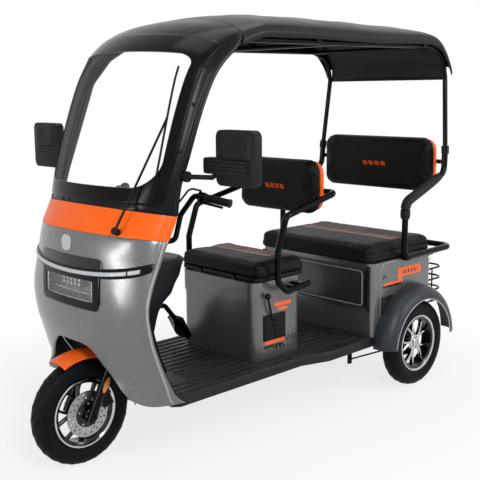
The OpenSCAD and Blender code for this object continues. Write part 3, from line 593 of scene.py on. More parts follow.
def round_off(obj, width, segments, angle=40):
    made = obj.modifiers.new("round", "BEVEL")
    made.width = width
    made.segments = segments
    made.limit_method = "ANGLE"
    made.angle_limit = math.radians(angle)
    made.harden_normals = False


def split_edges(obj, angle):
    obj.modifiers.new("split", "EDGE_SPLIT").split_angle = math.radians(angle)


def smooth(mesh):
    mesh.polygons.foreach_set("use_smooth", [True] * len(mesh.polygons))


def dress_nodes():
    """Gives every solid its finish, joined faces, and round or split edges."""
    for finish, names in NODE_FINISH.items():
        for name in names.split():
            obj = nodes[name]
            obj.data.materials.clear()
            obj.data.materials.append(MAT[finish])
            obj.modifiers.new("weld", "WELD").merge_threshold = WELD_REACH
            if name in ROUNDED:
                round_off(obj, ROUNDED[name] / 1000, 3)
            split_edges(obj, NODE_SPLIT)
            smooth(obj.data)


dress_nodes()


# Makers of pieces

def finish_piece(name, bm, finish, body="chassis", replaced=(), split=None):
    """Merges doubles, turns the faces outwards and hands the mesh over as one piece."""
    bmesh.ops.remove_doubles(bm, verts=bm.verts, dist=1e-6)
    bmesh.ops.recalc_face_normals(bm, faces=bm.faces)
    return hand_over(name, bm, finish, body, replaced, split)


def hand_over(name, bm, finish, body="chassis", replaced=(), split=None):
    obj = as_object(name, bm)
    smooth(obj.data)
    obj.data.materials.append(MAT[finish])
    if split:
        split_edges(obj, split)
    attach(obj, body)
    if replaced:
        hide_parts(*replaced)
    return obj


def as_object(name, bm):
    mesh = bpy.data.meshes.new(name)
    bm.to_mesh(mesh)
    bm.free()
    obj = bpy.data.objects.new(name, mesh)
    scene.collection.objects.link(obj)
    return obj


def thicken(obj, thick, rounding):
    """Thickness inwards from the outer face, with a soft rim."""
    made = obj.modifiers.new("thickness", "SOLIDIFY")
    made.thickness = thick
    made.offset = -1
    made.use_even_offset = True
    if rounding:
        round_off(obj, rounding, 2, 50)


def moulded_sheet(name, finish, cols, rows, point, thick, outward, keep=None, replaced=(), flat=None,
                  rounding=0.0008):
    """A grid whose points are put on a body surface, given its thickness by a modifier."""
    bm = bmesh.new()
    bmesh.ops.create_grid(bm, x_segments=len(cols) - 1, y_segments=len(rows) - 1, size=0.5)
    spot = {}
    for v in bm.verts:
        i = round((v.co.x + 0.5) * (len(cols) - 1))
        j = round((v.co.y + 0.5) * (len(rows) - 1))
        spot[v] = (cols[i], rows[j])
    if flat:
        layer = bm.loops.layers.uv.new("flat")
        for face in bm.faces:
            for loop in face.loops:
                loop[layer].uv = flat(*spot[loop.vert])

    def middle(face):
        return (sum(spot[v][k] for v in face.verts) / len(face.verts) for k in (0, 1))

    if keep:
        gone = [face for face in bm.faces if not keep(*middle(face))]
        bmesh.ops.delete(bm, geom=gone, context="FACES")
    for v in bm.verts:
        v.co = point(*spot[v])
    bmesh.ops.recalc_face_normals(bm, faces=bm.faces)
    total = sum((f.normal * f.calc_area() for f in bm.faces), Vector())
    if total.dot(Vector(outward)) < 0:
        bmesh.ops.reverse_faces(bm, faces=bm.faces)
    thicken(hand_over(name, bm, finish, replaced=replaced), thick, rounding)


def round_reach(x, corner_x, corner_y):
    """Share of the full height of a plate with round corners at x from -1 to 1."""
    over = (abs(x) - (1 - corner_x)) / corner_x
    return 1.0 if over <= 0 else 1 - corner_y + corner_y * math.sqrt(max(0.0, 1 - over * over))


def nose_patch(name, finish, half, low, high, w, thick, corners, keep=None, count=(30, 12), replaced=()):
    """A plate on the nose between two heights, with round corners: corners = (share, low, high)."""
    centre = (low + high) / 2

    def point(x, y):
        corner = corners[1] if y < 0 else corners[2]
        reach = round_reach(x, corners[0], corner) if corner else 1.0
        return on_nose(x * half, centre + y * reach * (high - low) / 2, w)

    moulded_sheet(name, finish, steps(-1, 1, count[0]), steps(-1, 1, count[1]), point, thick, (1, 0, 0.2), keep,
                  replaced)


def turn_to(way):
    """Rotation that carries +z to a direction and keeps +x ahead where it can."""
    z = Vector(way).normalized()
    x = Vector((1, 0, 0)) if abs(z.x) < 0.9 else Vector((0, 1, 0))
    y = z.cross(x).normalized()
    return Matrix((y.cross(z), y, z)).transposed().to_4x4()


def revolve(bm, profile, place, way, count, start=0.0, angle=360.0, closed=False):
    """Spins points (radius, height), in millimetres, about a line through place along way."""
    old = set(bm.verts)
    first = Matrix.Rotation(math.radians(start), 4, "Z")
    verts = [bm.verts.new(first @ Vector((r / 1000, 0, h / 1000))) for r, h in profile]
    pairs = list(zip(verts, verts[1:])) + ([(verts[-1], verts[0])] if closed else [])
    edges = [bm.edges.new(p) for p in pairs]
    bmesh.ops.spin(bm, geom=verts + edges, cent=(0, 0, 0), axis=(0, 0, 1), angle=math.radians(angle),
                   steps=count, use_merge=angle >= 360)
    new = [v for v in bm.verts if v not in old]
    bmesh.ops.remove_doubles(bm, verts=new, dist=1e-6)
    new = [v for v in new if v.is_valid]
    bmesh.ops.transform(bm, matrix=Matrix.Translation(place) @ turn_to(way), verts=new)
    return new


def spun(name, finish, profile, spots, count, body="chassis", replaced=(), split=None, closed=False):
    """One piece with the same spun shape at every (place, direction)."""
    bm = bmesh.new()
    for place, way in spots:
        revolve(bm, profile, place, way, count, closed=closed)
    finish_piece(name, bm, finish, body, replaced, split)


def rounded_path(points, radius, count):
    """The points of a bent tube's centre line, with an arc at each inner point."""
    out = [points[0]]
    for before, here, after in zip(points, points[1:], points[2:]):
        u = (before - here).normalized()
        v = (after - here).normalized()
        half = u.angle(v) / 2
        if half > math.radians(89):
            continue
        reach = radius / math.tan(half)
        centre = here + (u + v).normalized() * radius / math.sin(half)
        arm_a = (here + u * reach - centre).normalized()
        arm_b = (here + v * reach - centre).normalized()
        out += [centre + arm_a.slerp(arm_b, i / count) * radius for i in range(count + 1)]
    return out + [points[-1]]


def swept(bm, path, radii, count):
    """A round tube along a path: a circle extruded ring by ring and closed at both ends."""
    ring = bmesh.ops.create_circle(bm, cap_ends=True, segments=count, radius=1.0)["verts"]
    base = [v.co.copy() for v in ring]
    last = len(path) - 1
    for i, p in enumerate(path):
        way = (path[min(last, i + 1)] - path[max(0, i - 1)]).normalized()
        side = Vector((0, 0, 1)).cross(way)
        if side.length < 0.1:
            side = Vector((0, 1, 0)).cross(way)
        side.normalize()
        top = way.cross(side)
        r = radii[i] if isinstance(radii, list) else radii
        if i > 0:
            held = set(ring)
            edges = [e for e in bm.edges if e.verts[0] in held and e.verts[1] in held]
            fresh = set(bmesh.ops.extrude_edge_only(bm, edges=edges)["geom"])
            ring = [next(o for o in (e.other_vert(v) for e in v.link_edges) if o in fresh) for v in ring]
        for v, c in zip(ring, base):
            v.co = p + side * c.x * r + top * c.y * r
    bmesh.ops.contextual_create(bm, geom=ring)


def tubes(name, finish, lines, count, body="chassis", split=None):
    """One piece of round tubes given as (path, radius)."""
    bm = bmesh.new()
    for path, radius in lines:
        swept(bm, path, radius, count)
    finish_piece(name, bm, finish, body, split=split)


def surface_normal(place, a, t, dt=0.05):
    u = place(a + 1.0, t) - place(a - 1.0, t)
    v = place(a, t + dt) - place(a, t - dt)
    return u.cross(v).normalized()


def bevel(bm, edges, width, segments):
    bmesh.ops.bevel(bm, geom=edges, offset=width, segments=segments, profile=0.5, affect="EDGES", material=-1)


def edges_along(edges, axis):
    return [e for e in edges if abs((e.verts[0].co - e.verts[1].co).normalized()[axis]) > 0.9]


def sharp(edges):
    return [e for e in edges if len(e.link_faces) == 2 and e.calc_face_angle() > math.radians(60)]


def cube_between(bm, low, high):
    """The corners of a new block between two places."""
    made = bmesh.ops.create_cube(bm, size=1.0)["verts"]
    for v in made:
        v.co = Vector([low[k] if v.co[k] < 0 else high[k] for k in range(3)])
    return made


# Front body, screen and roof

def front_body():
    cols = steps(-90, 90, 90, (-86, -84, -83, -82, -81, -79, 79, 81, 82, 83, 84, 86, -30, 30))
    rows = steps(0, 1, 26) + steps(1, 2, 6)[1:] + steps(2, 3, 10)[1:]

    def point(a, t):
        if t <= 1:
            z = arch_z(a) + (LAMP_LOW - arch_z(a)) * t
        elif t <= 2:
            z = LAMP_LOW + (LAMP_HIGH - LAMP_LOW) * (t - 1)
        else:
            z = LAMP_HIGH + (band_low(a) - LAMP_HIGH) * (t - 2)
        return on_nose(a, z, ridge(a))

    moulded_sheet("front_body", "gunmetal", cols, rows, point, 0.008, (1, 0, 0),
                  lambda a, t: not (abs(a) < 30 and 1 < t < 2), ["front_fairing"], rounding=0.0025)

    def band_point(a, t):
        low, high = band_low(a) + 0.5, band_high(a) - 0.5
        return on_nose(a, low + (high - low) * t, ridge(a) - 3)

    moulded_sheet("colour_band", "orange", cols, steps(0, 1, 10), band_point, 0.011, (1, 0, 0),
                  replaced=["fairing_band"], rounding=0.0015)
    around = steps(-88, 88, 88)
    tubes("band_gaskets", "moulded", (
        ([on_nose(a, band_high(a) - 0.3, -1.6 + ridge(a)) for a in around], 0.0021),
        ([on_nose(a, band_low(a) + 0.2, -0.6 + ridge(a)) for a in around], 0.0012)), 8)

    def bead(a):
        low, high = arch_z(a) + 8, band_low(a) - 3
        return [on_nose(a, low + (high - low) * t, -1.5) for t in steps(0, 1, 60)]

    # The light grey of these beads is a painted highlight, standing in for the bright line that the raised rear
    # edge catches
    tubes("edge_beads_painted_highlight", "trim_grey", [(bead(a), 0.0048) for a in (84.5, -84.5)], 10)
    nose_patch("nose_badge", "white_lamp", 4.6, 858, 918, -1.8, 0.003, (0.9, 0.86, 0.7), count=(30, 20))


def screen_and_roof():
    cols = steps(-90, 90, 60, (-61, 61, -86, -83, -82, -80, 80, 82, 83, 86))
    moulded_sheet("screen_surround", "charcoal", cols, steps(0, 9, 60, (0.75, 6.1)),
                  lambda a, s: on_screen(a, s, ridge(a)), 0.008, (1, 0, 0.5),
                  lambda a, s: not (abs(a) < 61 and 0.75 < s < 6.1), ["windscreen_frame"], rounding=0.0015)

    def pane_row(x, y):
        return PANE_MID + y * PANE_HALF * round_reach(x, 0.16, 0.12)

    def pane_point(x, y):
        return on_screen(72 * x, pane_row(x, y), -3.6)

    moulded_sheet("screen_sheet", "screen", steps(-1, 1, 64), steps(-1, 1, 60), pane_point, 0.003, (1, 0, 0.5),
                  replaced=["windscreen"], flat=lambda x, y: (pane_point(x, y).y, pane_row(x, y) / 10),
                  rounding=0)

    def roof_point(a, s):
        if abs(a) <= 90:
            wave = sum(bump(curve(ROOF, s, 1), x, 26) for x in (930, 640, 350, 60))
            rise = 5 * wave * max(0.0, math.cos(math.radians(a * 1.35))) if abs(a) < 66 else 0.0
            return on_roof(a, s, -rise)
        drop = abs(a) - 90
        edge = on_roof(math.copysign(90, a), s)
        swell = 0.005 * math.sin(math.pi * drop)
        return edge + Vector((0, math.copysign(swell, a), -RIM_DROP / 1000 * drop))

    cols = [-91 + i / 8 for i in range(8)] + steps(-90, 90, 44) + [90 + i / 8 for i in range(1, 9)]
    moulded_sheet("roof_skin", "roofing", cols, steps(0, 10, 90), roof_point, 0.008, (0, 0, 1),
                  replaced=["roof_panel"], rounding=0.0015)


def bolt_caps():
    """Caps of the bolts that hold the screen and its surround."""
    dome = [(0, 4.2), (4, 3.8), (7, 2.2), (8.2, 0), (8.2, -1)]
    bolts = ((75.5, 3.9), (73.5, 0.7), (74, 2.3), (73, 5.5), (20, 0.12), (-12, 0.12), (48, 0.12))
    spots = [(on_screen(side * a, s, ridge(a) if a > 60 else -0.2), surface_normal(on_screen, side * a, s))
             for a, s in bolts for side in (1, -1)]
    spun("bolt_caps", "gloss", dome, spots, 14)


def headlamp():
    def open_middle(x, y):
        return not (abs(x) < 0.8 and -0.64 < y < 0.48)

    nose_patch("lamp_seat", "gunmetal", 30.6, LAMP_LOW - 2, LAMP_HIGH, -0.4, 0.006, (0.14, 0.0, 0.0),
               open_middle, (40, 25))
    nose_patch("lamp_surround", "gloss", 30.4, LAMP_LOW - 1, LAMP_HIGH, -4.2, 0.012, (0.16, 0.42, 0.0),
               open_middle, (40, 25), ["headlamp_bezel"])
    nose_patch("lamp_lens", "cover", 25.0, LENS_LOW - 4, LENS_HIGH + 3, -2.8, 0.002, (0.1, 0.25, 0.0),
               replaced=["headlamp_lens"])
    nose_patch("lamp_reflector", "cells", 24.8, LENS_LOW - 2, LENS_HIGH + 2, 34, 0.003, (0.1, 0.2, 0.0))
    nose_patch("lamp_hood", "smoke", 32, LAMP_HIGH - 3, 845, -3.4, 0.004, (0.16, 0.0, 0.9), count=(60, 12))
    cell = [(0, 3.4), (4.6, 2.8), (6.6, 1), (7.0, -2), (0, -2)]
    spots = [(on_nose(a, z, 17), surface_normal(lambda u, h: on_nose(u, h, 20), a, z, 2.0))
             for z in (746, 730) for a in (-7.5, -3.5, 0.5, 4.5, 8.5)]
    spun("lamp_cells", "white_lamp", cell, spots, 16)
    nose_patch("lamp_module", "gloss", 12.5, 717, 758, 20, 0.014, (0.2, 0.3, 0.3))
    nose_patch("lamp_blade", "alloy", 23.5, 702, 705, 16, 0.02, (0.1, 0.0, 0.0), count=(30, 2))
    edge = [on_nose(x, z, 0.5) for x, z in ((-23.4, 679), (23.4, 679), (23.4, 758), (-23.4, 758))]
    line = [p.lerp(q, i / 10) for p, q in zip(edge, edge[1:] + edge[:1]) for i in range(10)]
    fitted = [on_nose(angle_at(p.y * 1000, NOSE_HALF), p.z * 1000, 1.5) for p in line]
    tubes("lamp_trim", "alloy", [(fitted + fitted[:1], 0.0021)], 8)


def light_strip():
    def border(a, t):
        thin = 19 if abs(a) < 66 else 19 - 3 * (abs(a) - 66) / 13
        return on_nose(a, strip_mid(a) + t * thin, -6.5 + 3.5 * t * t)

    moulded_sheet("strip_border", "gloss", steps(-79, 79, 78), steps(-1, 1, 8), border, 0.005, (1, 0, 0),
                  replaced=["light_bar"])

    def glow(a, t):
        return on_nose(a, strip_mid(a) + t * 7.6, -8.6 + 1.2 * t * t)

    for name, low, high in (("strip_middle", -52.5, 52.5), ("strip_left", 54, 65), ("strip_right", -65, -54)):
        moulded_sheet(name, "white_lamp", steps(low, high, 40), steps(-1, 1, 6), glow, 0.002, (1, 0, 0))


front_body()
screen_and_roof()
bolt_caps()
headlamp()
light_strip()


# Upholstery

PAD_EDGE = 0.022
STITCHED_DEPTH = 0.014
FILLING_FRAMES = 20
FILLING = {"quality": 5, "mass": 0.4, "tension_stiffness": 14, "compression_stiffness": 14, "shear_stiffness": 6,
           "bending_stiffness": 2, "use_pressure": True, "uniform_pressure_force": 4,
           "vertex_group_mass": "stitched"}
SEAM_DEPTH = 0.003
# Width of the seam in millimetres and the steepest normal that it is pressed into, by the pad's axis
SEAM = {2: (4.0, 0.75), 0: (3.0, 0.6)}


def rounded_block(low, high, corner, axis, cell):
    """A block with round corners seen along one axis and soft edges, as a mesh to be filled."""
    bm = bmesh.new()
    cube_between(bm, low, high)
    bevel(bm, edges_along(bm.edges, axis), corner / 1000, 7)
    bevel(bm, sharp(bm.edges), PAD_EDGE, 4)
    bmesh.ops.recalc_face_normals(bm, faces=bm.faces)
    obj = as_object("block", bm)
    cells = obj.modifiers.new("cells", "REMESH")
    cells.mode = "VOXEL"
    cells.voxel_size = cell / 1000
    return obj


def settled_mesh(obj):
    """A new mesh of what the object's modifiers make."""
    bpy.context.view_layer.update()
    return bpy.data.meshes.new_from_object(obj.evaluated_get(bpy.context.evaluated_depsgraph_get()))


def upholstered(name, finish, body, replaced, low, high, corner, axis, cell, swell, seam):
    """A cushion blown up by at most swell. Its low side along the axis is stitched, and a seam runs around it."""
    low, high = at(*low), at(*high)
    block = rounded_block(low, high, corner, axis, cell)
    plain = settled_mesh(block)
    block.modifiers.clear()
    block.data = plain
    held = [v.index for v in plain.vertices if v.co[axis] - low[axis] < STITCHED_DEPTH]
    block.vertex_groups.new(name="stitched").add(held, 1.0, "REPLACE")
    cloth = block.modifiers.new("filling", "CLOTH")
    for key, value in FILLING.items():
        setattr(cloth.settings, key, value)
    cloth.settings.effector_weights.gravity = 0
    cloth.collision_settings.use_collision = False
    for number in range(1, FILLING_FRAMES + 1):
        scene.frame_set(number)
    full = settled_mesh(block)
    for v, old in zip(full.vertices, plain.vertices):
        move = v.co - old.co
        if move.length > swell / 1000:
            v.co = old.co + move * (swell / 1000 / move.length)
    block.modifiers.clear()
    block.data = full
    scene.frame_set(1)
    bm = bmesh.new()
    bm.from_mesh(settled_mesh(block))
    bpy.data.objects.remove(block)
    bmesh.ops.smooth_vert(bm, verts=bm.verts, factor=0.5, use_axis_x=True, use_axis_y=True, use_axis_z=True)
    bm.normal_update()
    width, steepest = SEAM[axis]
    line = at(seam, seam, seam)[axis]
    for v in bm.verts:
        if abs(v.normal[axis]) < steepest:
            v.co -= v.normal * SEAM_DEPTH * bump((v.co[axis] - line) * 1000, 0, width)
    obj = finish_piece(name, bm, finish, body, replaced)
    fine = obj.modifiers.new("fine", "SUBSURF")
    fine.levels = fine.render_levels = 1


def cushions():
    upholstered("driver_cushion", "seat_print", "seat_lid", ["seat_cushion"],
                (644, -264, 656), (952, 264, 717), 46, 2, 6, 7, 693)
    upholstered("bench_pad", "bench_print", "chassis", ["bench_cushion"],
                (-192, -363, 642), (328, 363, 719), 48, 2, 6.6, 8, 684)
    upholstered("driver_back_pad", "front_pad_print", "chassis", ["front_backrest"],
                (524.5, -245, 889), (579, 245, 1140), 62, 0, 6, 6, 541)
    upholstered("bench_back_pad", "rear_pad_print", "chassis", ["rear_backrest"],
                (-225.5, -345, 931), (-171, 345, 1212), 66, 0, 6, 6, -209)


def shells():
    """The moulded backs behind both pads."""
    bm = bmesh.new()
    for low, high in (((498.5, -237, 901), (523.5, 237, 1128)), ((-251.5, -337, 943), (-226.5, 337, 1199))):
        made = cube_between(bm, at(*low), at(*high))
        own = list({e for v in made for e in v.link_edges})
        bevel(bm, edges_along(own, 0), 0.058, 8)
    bevel(bm, sharp(bm.edges), 0.007, 4)
    finish_piece("back_shells", bm, "orange", replaced=["backrest_shells"], split=40)


# Wheels, with (radius, height) profiles in millimetres

TYRE_HALF = ((138.5, 27.0), (143.0, 35.5), (152.0, 40.0), (165.0, 42.6), (178.0, 42.2), (190.0, 38.6),
             (200.0, 33.0), (206.0, 25.0), (209.5, 15.0), (211.0, 3.5))
BARREL = ((118, -27), (124, -29), (134, -36), (139, -35), (139, -30), (131, -26), (126, -10), (126, 10), (131, 26),
          (139, 30), (139, 35), (134, 36), (124, 29), (118, 27), (119, 0))
LIP = ((126, 29.5), (133, 36.4), (139.2, 35.6), (139.2, 33), (134, 33), (128, 28))
HUB = ((0, 21), (14, 20.5), (18, 18.5), (19, 15), (30, 15), (36, 12), (37, 0), (34, -18), (0, -20))
HUB_BOLT = ((0, 3.6), (3.4, 3.6), (4.2, 2.8), (4.2, -1))
SPOKES = 5
SPOKE_STEP = 360 / SPOKES


def tyre(name, body, replaced, place):
    """A tyre with pits pressed into its tread and raised rings on its sides."""
    bm = bmesh.new()
    profile = [(r, -h) for r, h in TYRE_HALF] + [(r, h) for r, h in reversed(TYRE_HALF)]
    revolve(bm, profile, place, (0, 1, 0), 72)

    def from_axle(face):
        mid = face.calc_center_median() - place
        return mid, math.hypot(mid.x, mid.z) * 1000

    def is_pit(face):
        mid, out = from_axle(face)
        turn = math.degrees(math.atan2(mid.z, mid.x)) / 5
        shift = (1 if mid.y > 0 else 2) if out > 208 else 0
        return 201 < out < 211 and abs(mid.y) < 0.034 and round(turn - 0.5 + shift) % 3 == 0

    pits = [f for f in bm.faces if is_pit(f)]
    bmesh.ops.inset_individual(bm, faces=pits, thickness=0.0035, depth=0.0)
    bmesh.ops.inset_individual(bm, faces=pits, thickness=0.0006, depth=-0.0014)
    for low, high in ((150, 160), (183, 186)):
        ring = [f for f in bm.faces if low < from_axle(f)[1] < high]
        bmesh.ops.inset_region(bm, faces=ring, thickness=0.0007, depth=0.0009)
    finish_piece(name, bm, "rubber", body, replaced, split=38)


def wheel(name, body, replaced, place, finish, outward):
    """A cast wheel: barrel, bright lip, forked spokes with the hub, and bolts."""
    way = (0, outward, 0)
    upright = Matrix.Translation(place) @ turn_to(way)
    for part, part_finish, profile in (("_barrel", "black_alloy", BARREL), ("_lip", "alloy", LIP)):
        spun(name + part, part_finish, profile, [(place, way)], 72, body, split=40, closed=True)
    bm = bmesh.new()
    for number in range(SPOKES):
        for side in (-1, 1):
            arm = bmesh.ops.create_grid(bm, x_segments=10, y_segments=3, size=0.5)["verts"]
            faces = list({f for v in arm for f in v.link_faces})
            for v in arm:
                t, u = v.co.x + 0.5, v.co.y
                r = 30 + 92 * t
                turn = side * (4 + 14 * t * t * (3 - 2 * t)) + 2.0 * math.sin(3.2 * t)
                wide = 15 - 4 * math.sin(math.pi * t)
                rise = 15 - 7 * t * t - 3.2 * (2 * u) ** 2
                v.co = Vector((r, u * wide + r * math.radians(turn), rise)) / 1000
            grown = bmesh.ops.extrude_face_region(bm, geom=faces)["geom"]
            down = [g for g in grown if isinstance(g, bmesh.types.BMVert)]
            bmesh.ops.translate(bm, vec=(0, 0, -0.016), verts=down)
            spread = Matrix.Rotation(math.radians(SPOKE_STEP * number), 4, "Z")
            bmesh.ops.transform(bm, matrix=upright @ spread, verts=arm + down)
    revolve(bm, HUB, place, way, 40)
    finish_piece(name + "_spokes", bm, finish, body, replaced, split=40)
    spots = []
    for number in range(SPOKES):
        r = math.radians(SPOKE_STEP * (number + 0.5))
        spots.append((upright @ (Vector((25.5 * math.cos(r), 25.5 * math.sin(r), 15)) / 1000), way))
    spun(name + "_bolts", "steel", HUB_BOLT, spots, 12, body)


def wheels():
    front = at(FRONT, 0, WHEEL_R)
    left, right = (at(0, side * HALF_TRACK, WHEEL_R) for side in (1, -1))
    tyre("front_tyre_tread", "front_wheel", ["front_tyre"], front)
    tyre("left_tyre_tread", "rear_wheel_left", ["tyre_left"], left)
    tyre("right_tyre_tread", "rear_wheel_right", ["tyre_right"], right)
    wheel("front_wheel", "front_wheel", ["front_rim"], front, "black_alloy", 1)
    wheel("left_wheel", "rear_wheel_left", ["rim_left"], left, "alloy", 1)
    wheel("right_wheel", "rear_wheel_right", ["rim_right"], right, "alloy", -1)


cushions()
shells()
wheels()


# Mudguards, box trim and controls

GUARD_START, GUARD_END = 4.0, 176.0
GUARD_Y = 365
GUARD_RIM_R, GUARD_RIM_Y = 226, 459.2
BEAD_R = 0.0022


def skin_of_revolution(name, finish, body, replaced, profile, ways, angle, thick):
    """A sheet spun about the axles given as (place, direction, start), with thickness inwards."""
    bm = bmesh.new()
    for axle, way, start in ways:
        fresh = revolve(bm, profile, axle, way, 60, start, angle)
        faces = list({f for v in fresh for f in v.link_faces})
        bmesh.ops.recalc_face_normals(bm, faces=faces)
        total = sum(f.normal.dot(f.calc_center_median() - axle) * f.calc_area() for f in faces)
        if total < 0:
            bmesh.ops.reverse_faces(bm, faces=faces)
    thicken(hand_over(name, bm, finish, body, replaced), thick, 0.0012)


def mudguards():
    guard = [(290, 0), (290, 14), (289.6, 28), (288, 42), (284.5, 55), (279, 67), (271, 78), (261, 86.5),
             (250, 92), (238, 94.6), (226, 95)]
    sweep = GUARD_END - GUARD_START
    ways = ((at(0, GUARD_Y, WHEEL_R), (0, 1, 0), -GUARD_END), (at(0, -GUARD_Y, WHEEL_R), (0, -1, 0), GUARD_START))
    skin_of_revolution("rear_guards", "guard", "chassis", ["rear_mudguards"], guard, ways, sweep, 0.005)

    def rim_point(k, side):
        r = math.radians(GUARD_START + sweep * k / 60)
        return at(GUARD_RIM_R * math.cos(r), side * GUARD_RIM_Y, WHEEL_R + GUARD_RIM_R * math.sin(r))

    tubes("guard_rims", "trim_grey", [([rim_point(k, side) for k in range(61)], 0.0032) for side in (1, -1)], 10)

    half = [(246, 0), (245.7, 8), (244.8, 17), (243, 27), (240, 37), (236, 45), (231, 52), (226, 56.5), (223, 57)]
    profile = [(r, -h) for r, h in reversed(half[1:])] + half
    axle = at(FRONT, 0, WHEEL_R)
    skin_of_revolution("wheel_guard", "orange", "steering", ["front_mudguard"], profile,
                       ((axle, (0, 1, 0), -160 - RAKE),), 122, 0.004)
    bm = bmesh.new()
    raked = Matrix.Translation(axle) @ Matrix.Rotation(math.radians(-RAKE), 4, "Y")
    for side in (1, -1):
        made = cube_between(bm, Vector((-11, side * 56, WHEEL_R + 10)) / 1000,
                            Vector((11, side * (LEG_Y - 17), WHEEL_R + 24)) / 1000)
        bmesh.ops.transform(bm, matrix=raked, verts=made)
    bevel(bm, bm.edges[:], 0.003, 2)
    finish_piece("guard_lugs", bm, "tube", "steering")


def film(name, finish, x0, x1, z0, z1, y):
    """Printed film on both sides of a box, read from its front end."""
    for label, side in SIDES:
        moulded_sheet(name + "_" + label, finish, steps(0, 1, 12), steps(0, 1, 4),
                      lambda u, v: at(x0 + (x1 - x0) * u, side * (y + 0.35), z0 + (z1 - z0) * v), 0.0003,
                      (0, side, 0), flat=lambda u, v: (u, v), rounding=0)


def box_trim():
    film("front_box_film", "box_print", 905, 665, 325, 395, FRONT_BOX_HALF)
    film("front_box_mark", "mark_print", 838, 710, 483, 540, FRONT_BOX_HALF)
    film("rear_box_film", "side_print", 222, -112, 503, 598, REAR_BOX_HALF)

    def both_sides(y, corners, bend, count, radius):
        return [(rounded_path([at(x, side * y, z) for x, z in corners], bend, count), radius) for side in (1, -1)]

    panel = ((239, 300), (239, 634), (-186, 634))
    tubes("panel_beads", "trim_grey", both_sides(REAR_BOX_HALF + 0.3, panel, 0.045, 10, BEAD_R), 8)
    seal = ((300, 420), (309, 430), (309, 612), (300, 624))
    tubes("hatch_seals", "gloss", both_sides(344, seal, 0.006, 4, 0.0082), 14)
    corners = [at(320.2, y, z) for y, z in ((0, 440), (320, 440), (320, 606), (-320, 606), (-320, 440), (0, 440))]
    tubes("hatch_bead", "trim_grey", [(rounded_path(corners, 0.016, 8), BEAD_R)], 8, "hatch")
    lock = [(0, 5.5), (7, 5.4), (10.5, 4.2), (12, 1.6), (12, -2)]
    spun("box_locks", "alloy", lock, [(at(-161, s * REAR_BOX_HALF, 607), (0, s, 0)) for s in (1, -1)], 24)


def armrests():
    """Soft sleeves on the bench's arm tubes, narrower at their ends."""
    lines = []
    for y in (400, -400):
        bent = rounded_path([at(-178, y, 1020.9), at(-60, y, 976.2), at(99, y, 916), at(100.2, y, 838)], 0.048, 10)
        path = [bent[0].lerp(bent[1], k / 6) for k in range(6)] + bent[1:-1]
        path += [bent[-2].lerp(bent[-1], k / 4) for k in (1, 2, 3, 4)]
        lines.append((path, [0.0190, 0.0222] + [0.0235] * (len(path) - 4) + [0.0228, 0.0190]))
    tubes("arm_sleeves", "soft", lines, 20, split=50)


def controls():
    """Ribbed grips on the handlebar and the display on the dash pod."""
    ribs = [(0, -6), (12, -6), (15.4, -4.5), (17.6, -1), (17.6, 2), (16, 4)]
    for k in range(12):
        ribs += [(16, 8 + 7.6 * k), (14.6, 9 + 7.6 * k), (14.6, 11 + 7.6 * k), (16, 12 + 7.6 * k)]
    ribs += [(16, 101), (18.2, 103), (18.2, 107), (13, 108)]
    ends = [(at(1204.96, side * 365, 1017.955), at(1264.96, side * 225, 1043.955)) for side in (1, -1)]
    spun("ribbed_grips", "soft", ribs, [(end, inner - end) for end, inner in ends], 24, "steering", ["grips"], 35)
    bm = bmesh.new()
    size = Vector((0.062, 0.128, 0.004))
    cube_between(bm, -size / 2, size / 2)
    bevel(bm, edges_along(bm.edges, 2), 0.012, 5)
    bevel(bm, sharp(bm.edges), 0.001, 2)
    tilt = Matrix.Rotation(math.radians(-30), 4, "Y")
    spot = at(1327.96, 0, 877.955) + tilt @ Vector((0, 0, 0.0465))
    bmesh.ops.transform(bm, matrix=Matrix.Translation(spot) @ tilt, verts=bm.verts)
    finish_piece("dash_display", bm, "gloss", "steering", split=40)


def mirror_backs():
    """The raised panel on the back of each mirror, with its rounded rim."""
    for label, side in SIDES:
        def point(x, y):
            reach = round_reach(x, 0.3, 0.34)
            swell = max(0.0, 1 - abs(x) ** 6) * max(0.0, 1 - abs(y) ** 6)
            dip = 5.0 * bump(x, 0, 0.62) * bump(y, 0.2, 0.42)
            return at(1414 + 9.0 * swell - dip, side * (618 + 88 * x), 1256 + 52 * y * reach)

        moulded_sheet("mirror_back_" + label, "moulded", steps(-1, 1, 30), steps(-1, 1, 20), point, 0.003,
                      (1, 0, 0))


def visor():
    """The rear visor, whose top follows the roof's rear edge."""
    foot = 1493

    def point(y, t):
        top = on_roof(angle_at(y, ROOF_HALF), 9.35).z * 1000 - 12
        return at(-251 + 4 * bump(t, 0.06, 0.05), y, foot + (top - foot) * t)

    moulded_sheet("visor_sheet", "roofing", steps(-357, 357, 60), steps(0, 1, 24), point, 0.006, (1, 0, 0),
                  replaced=["rear_visor"])


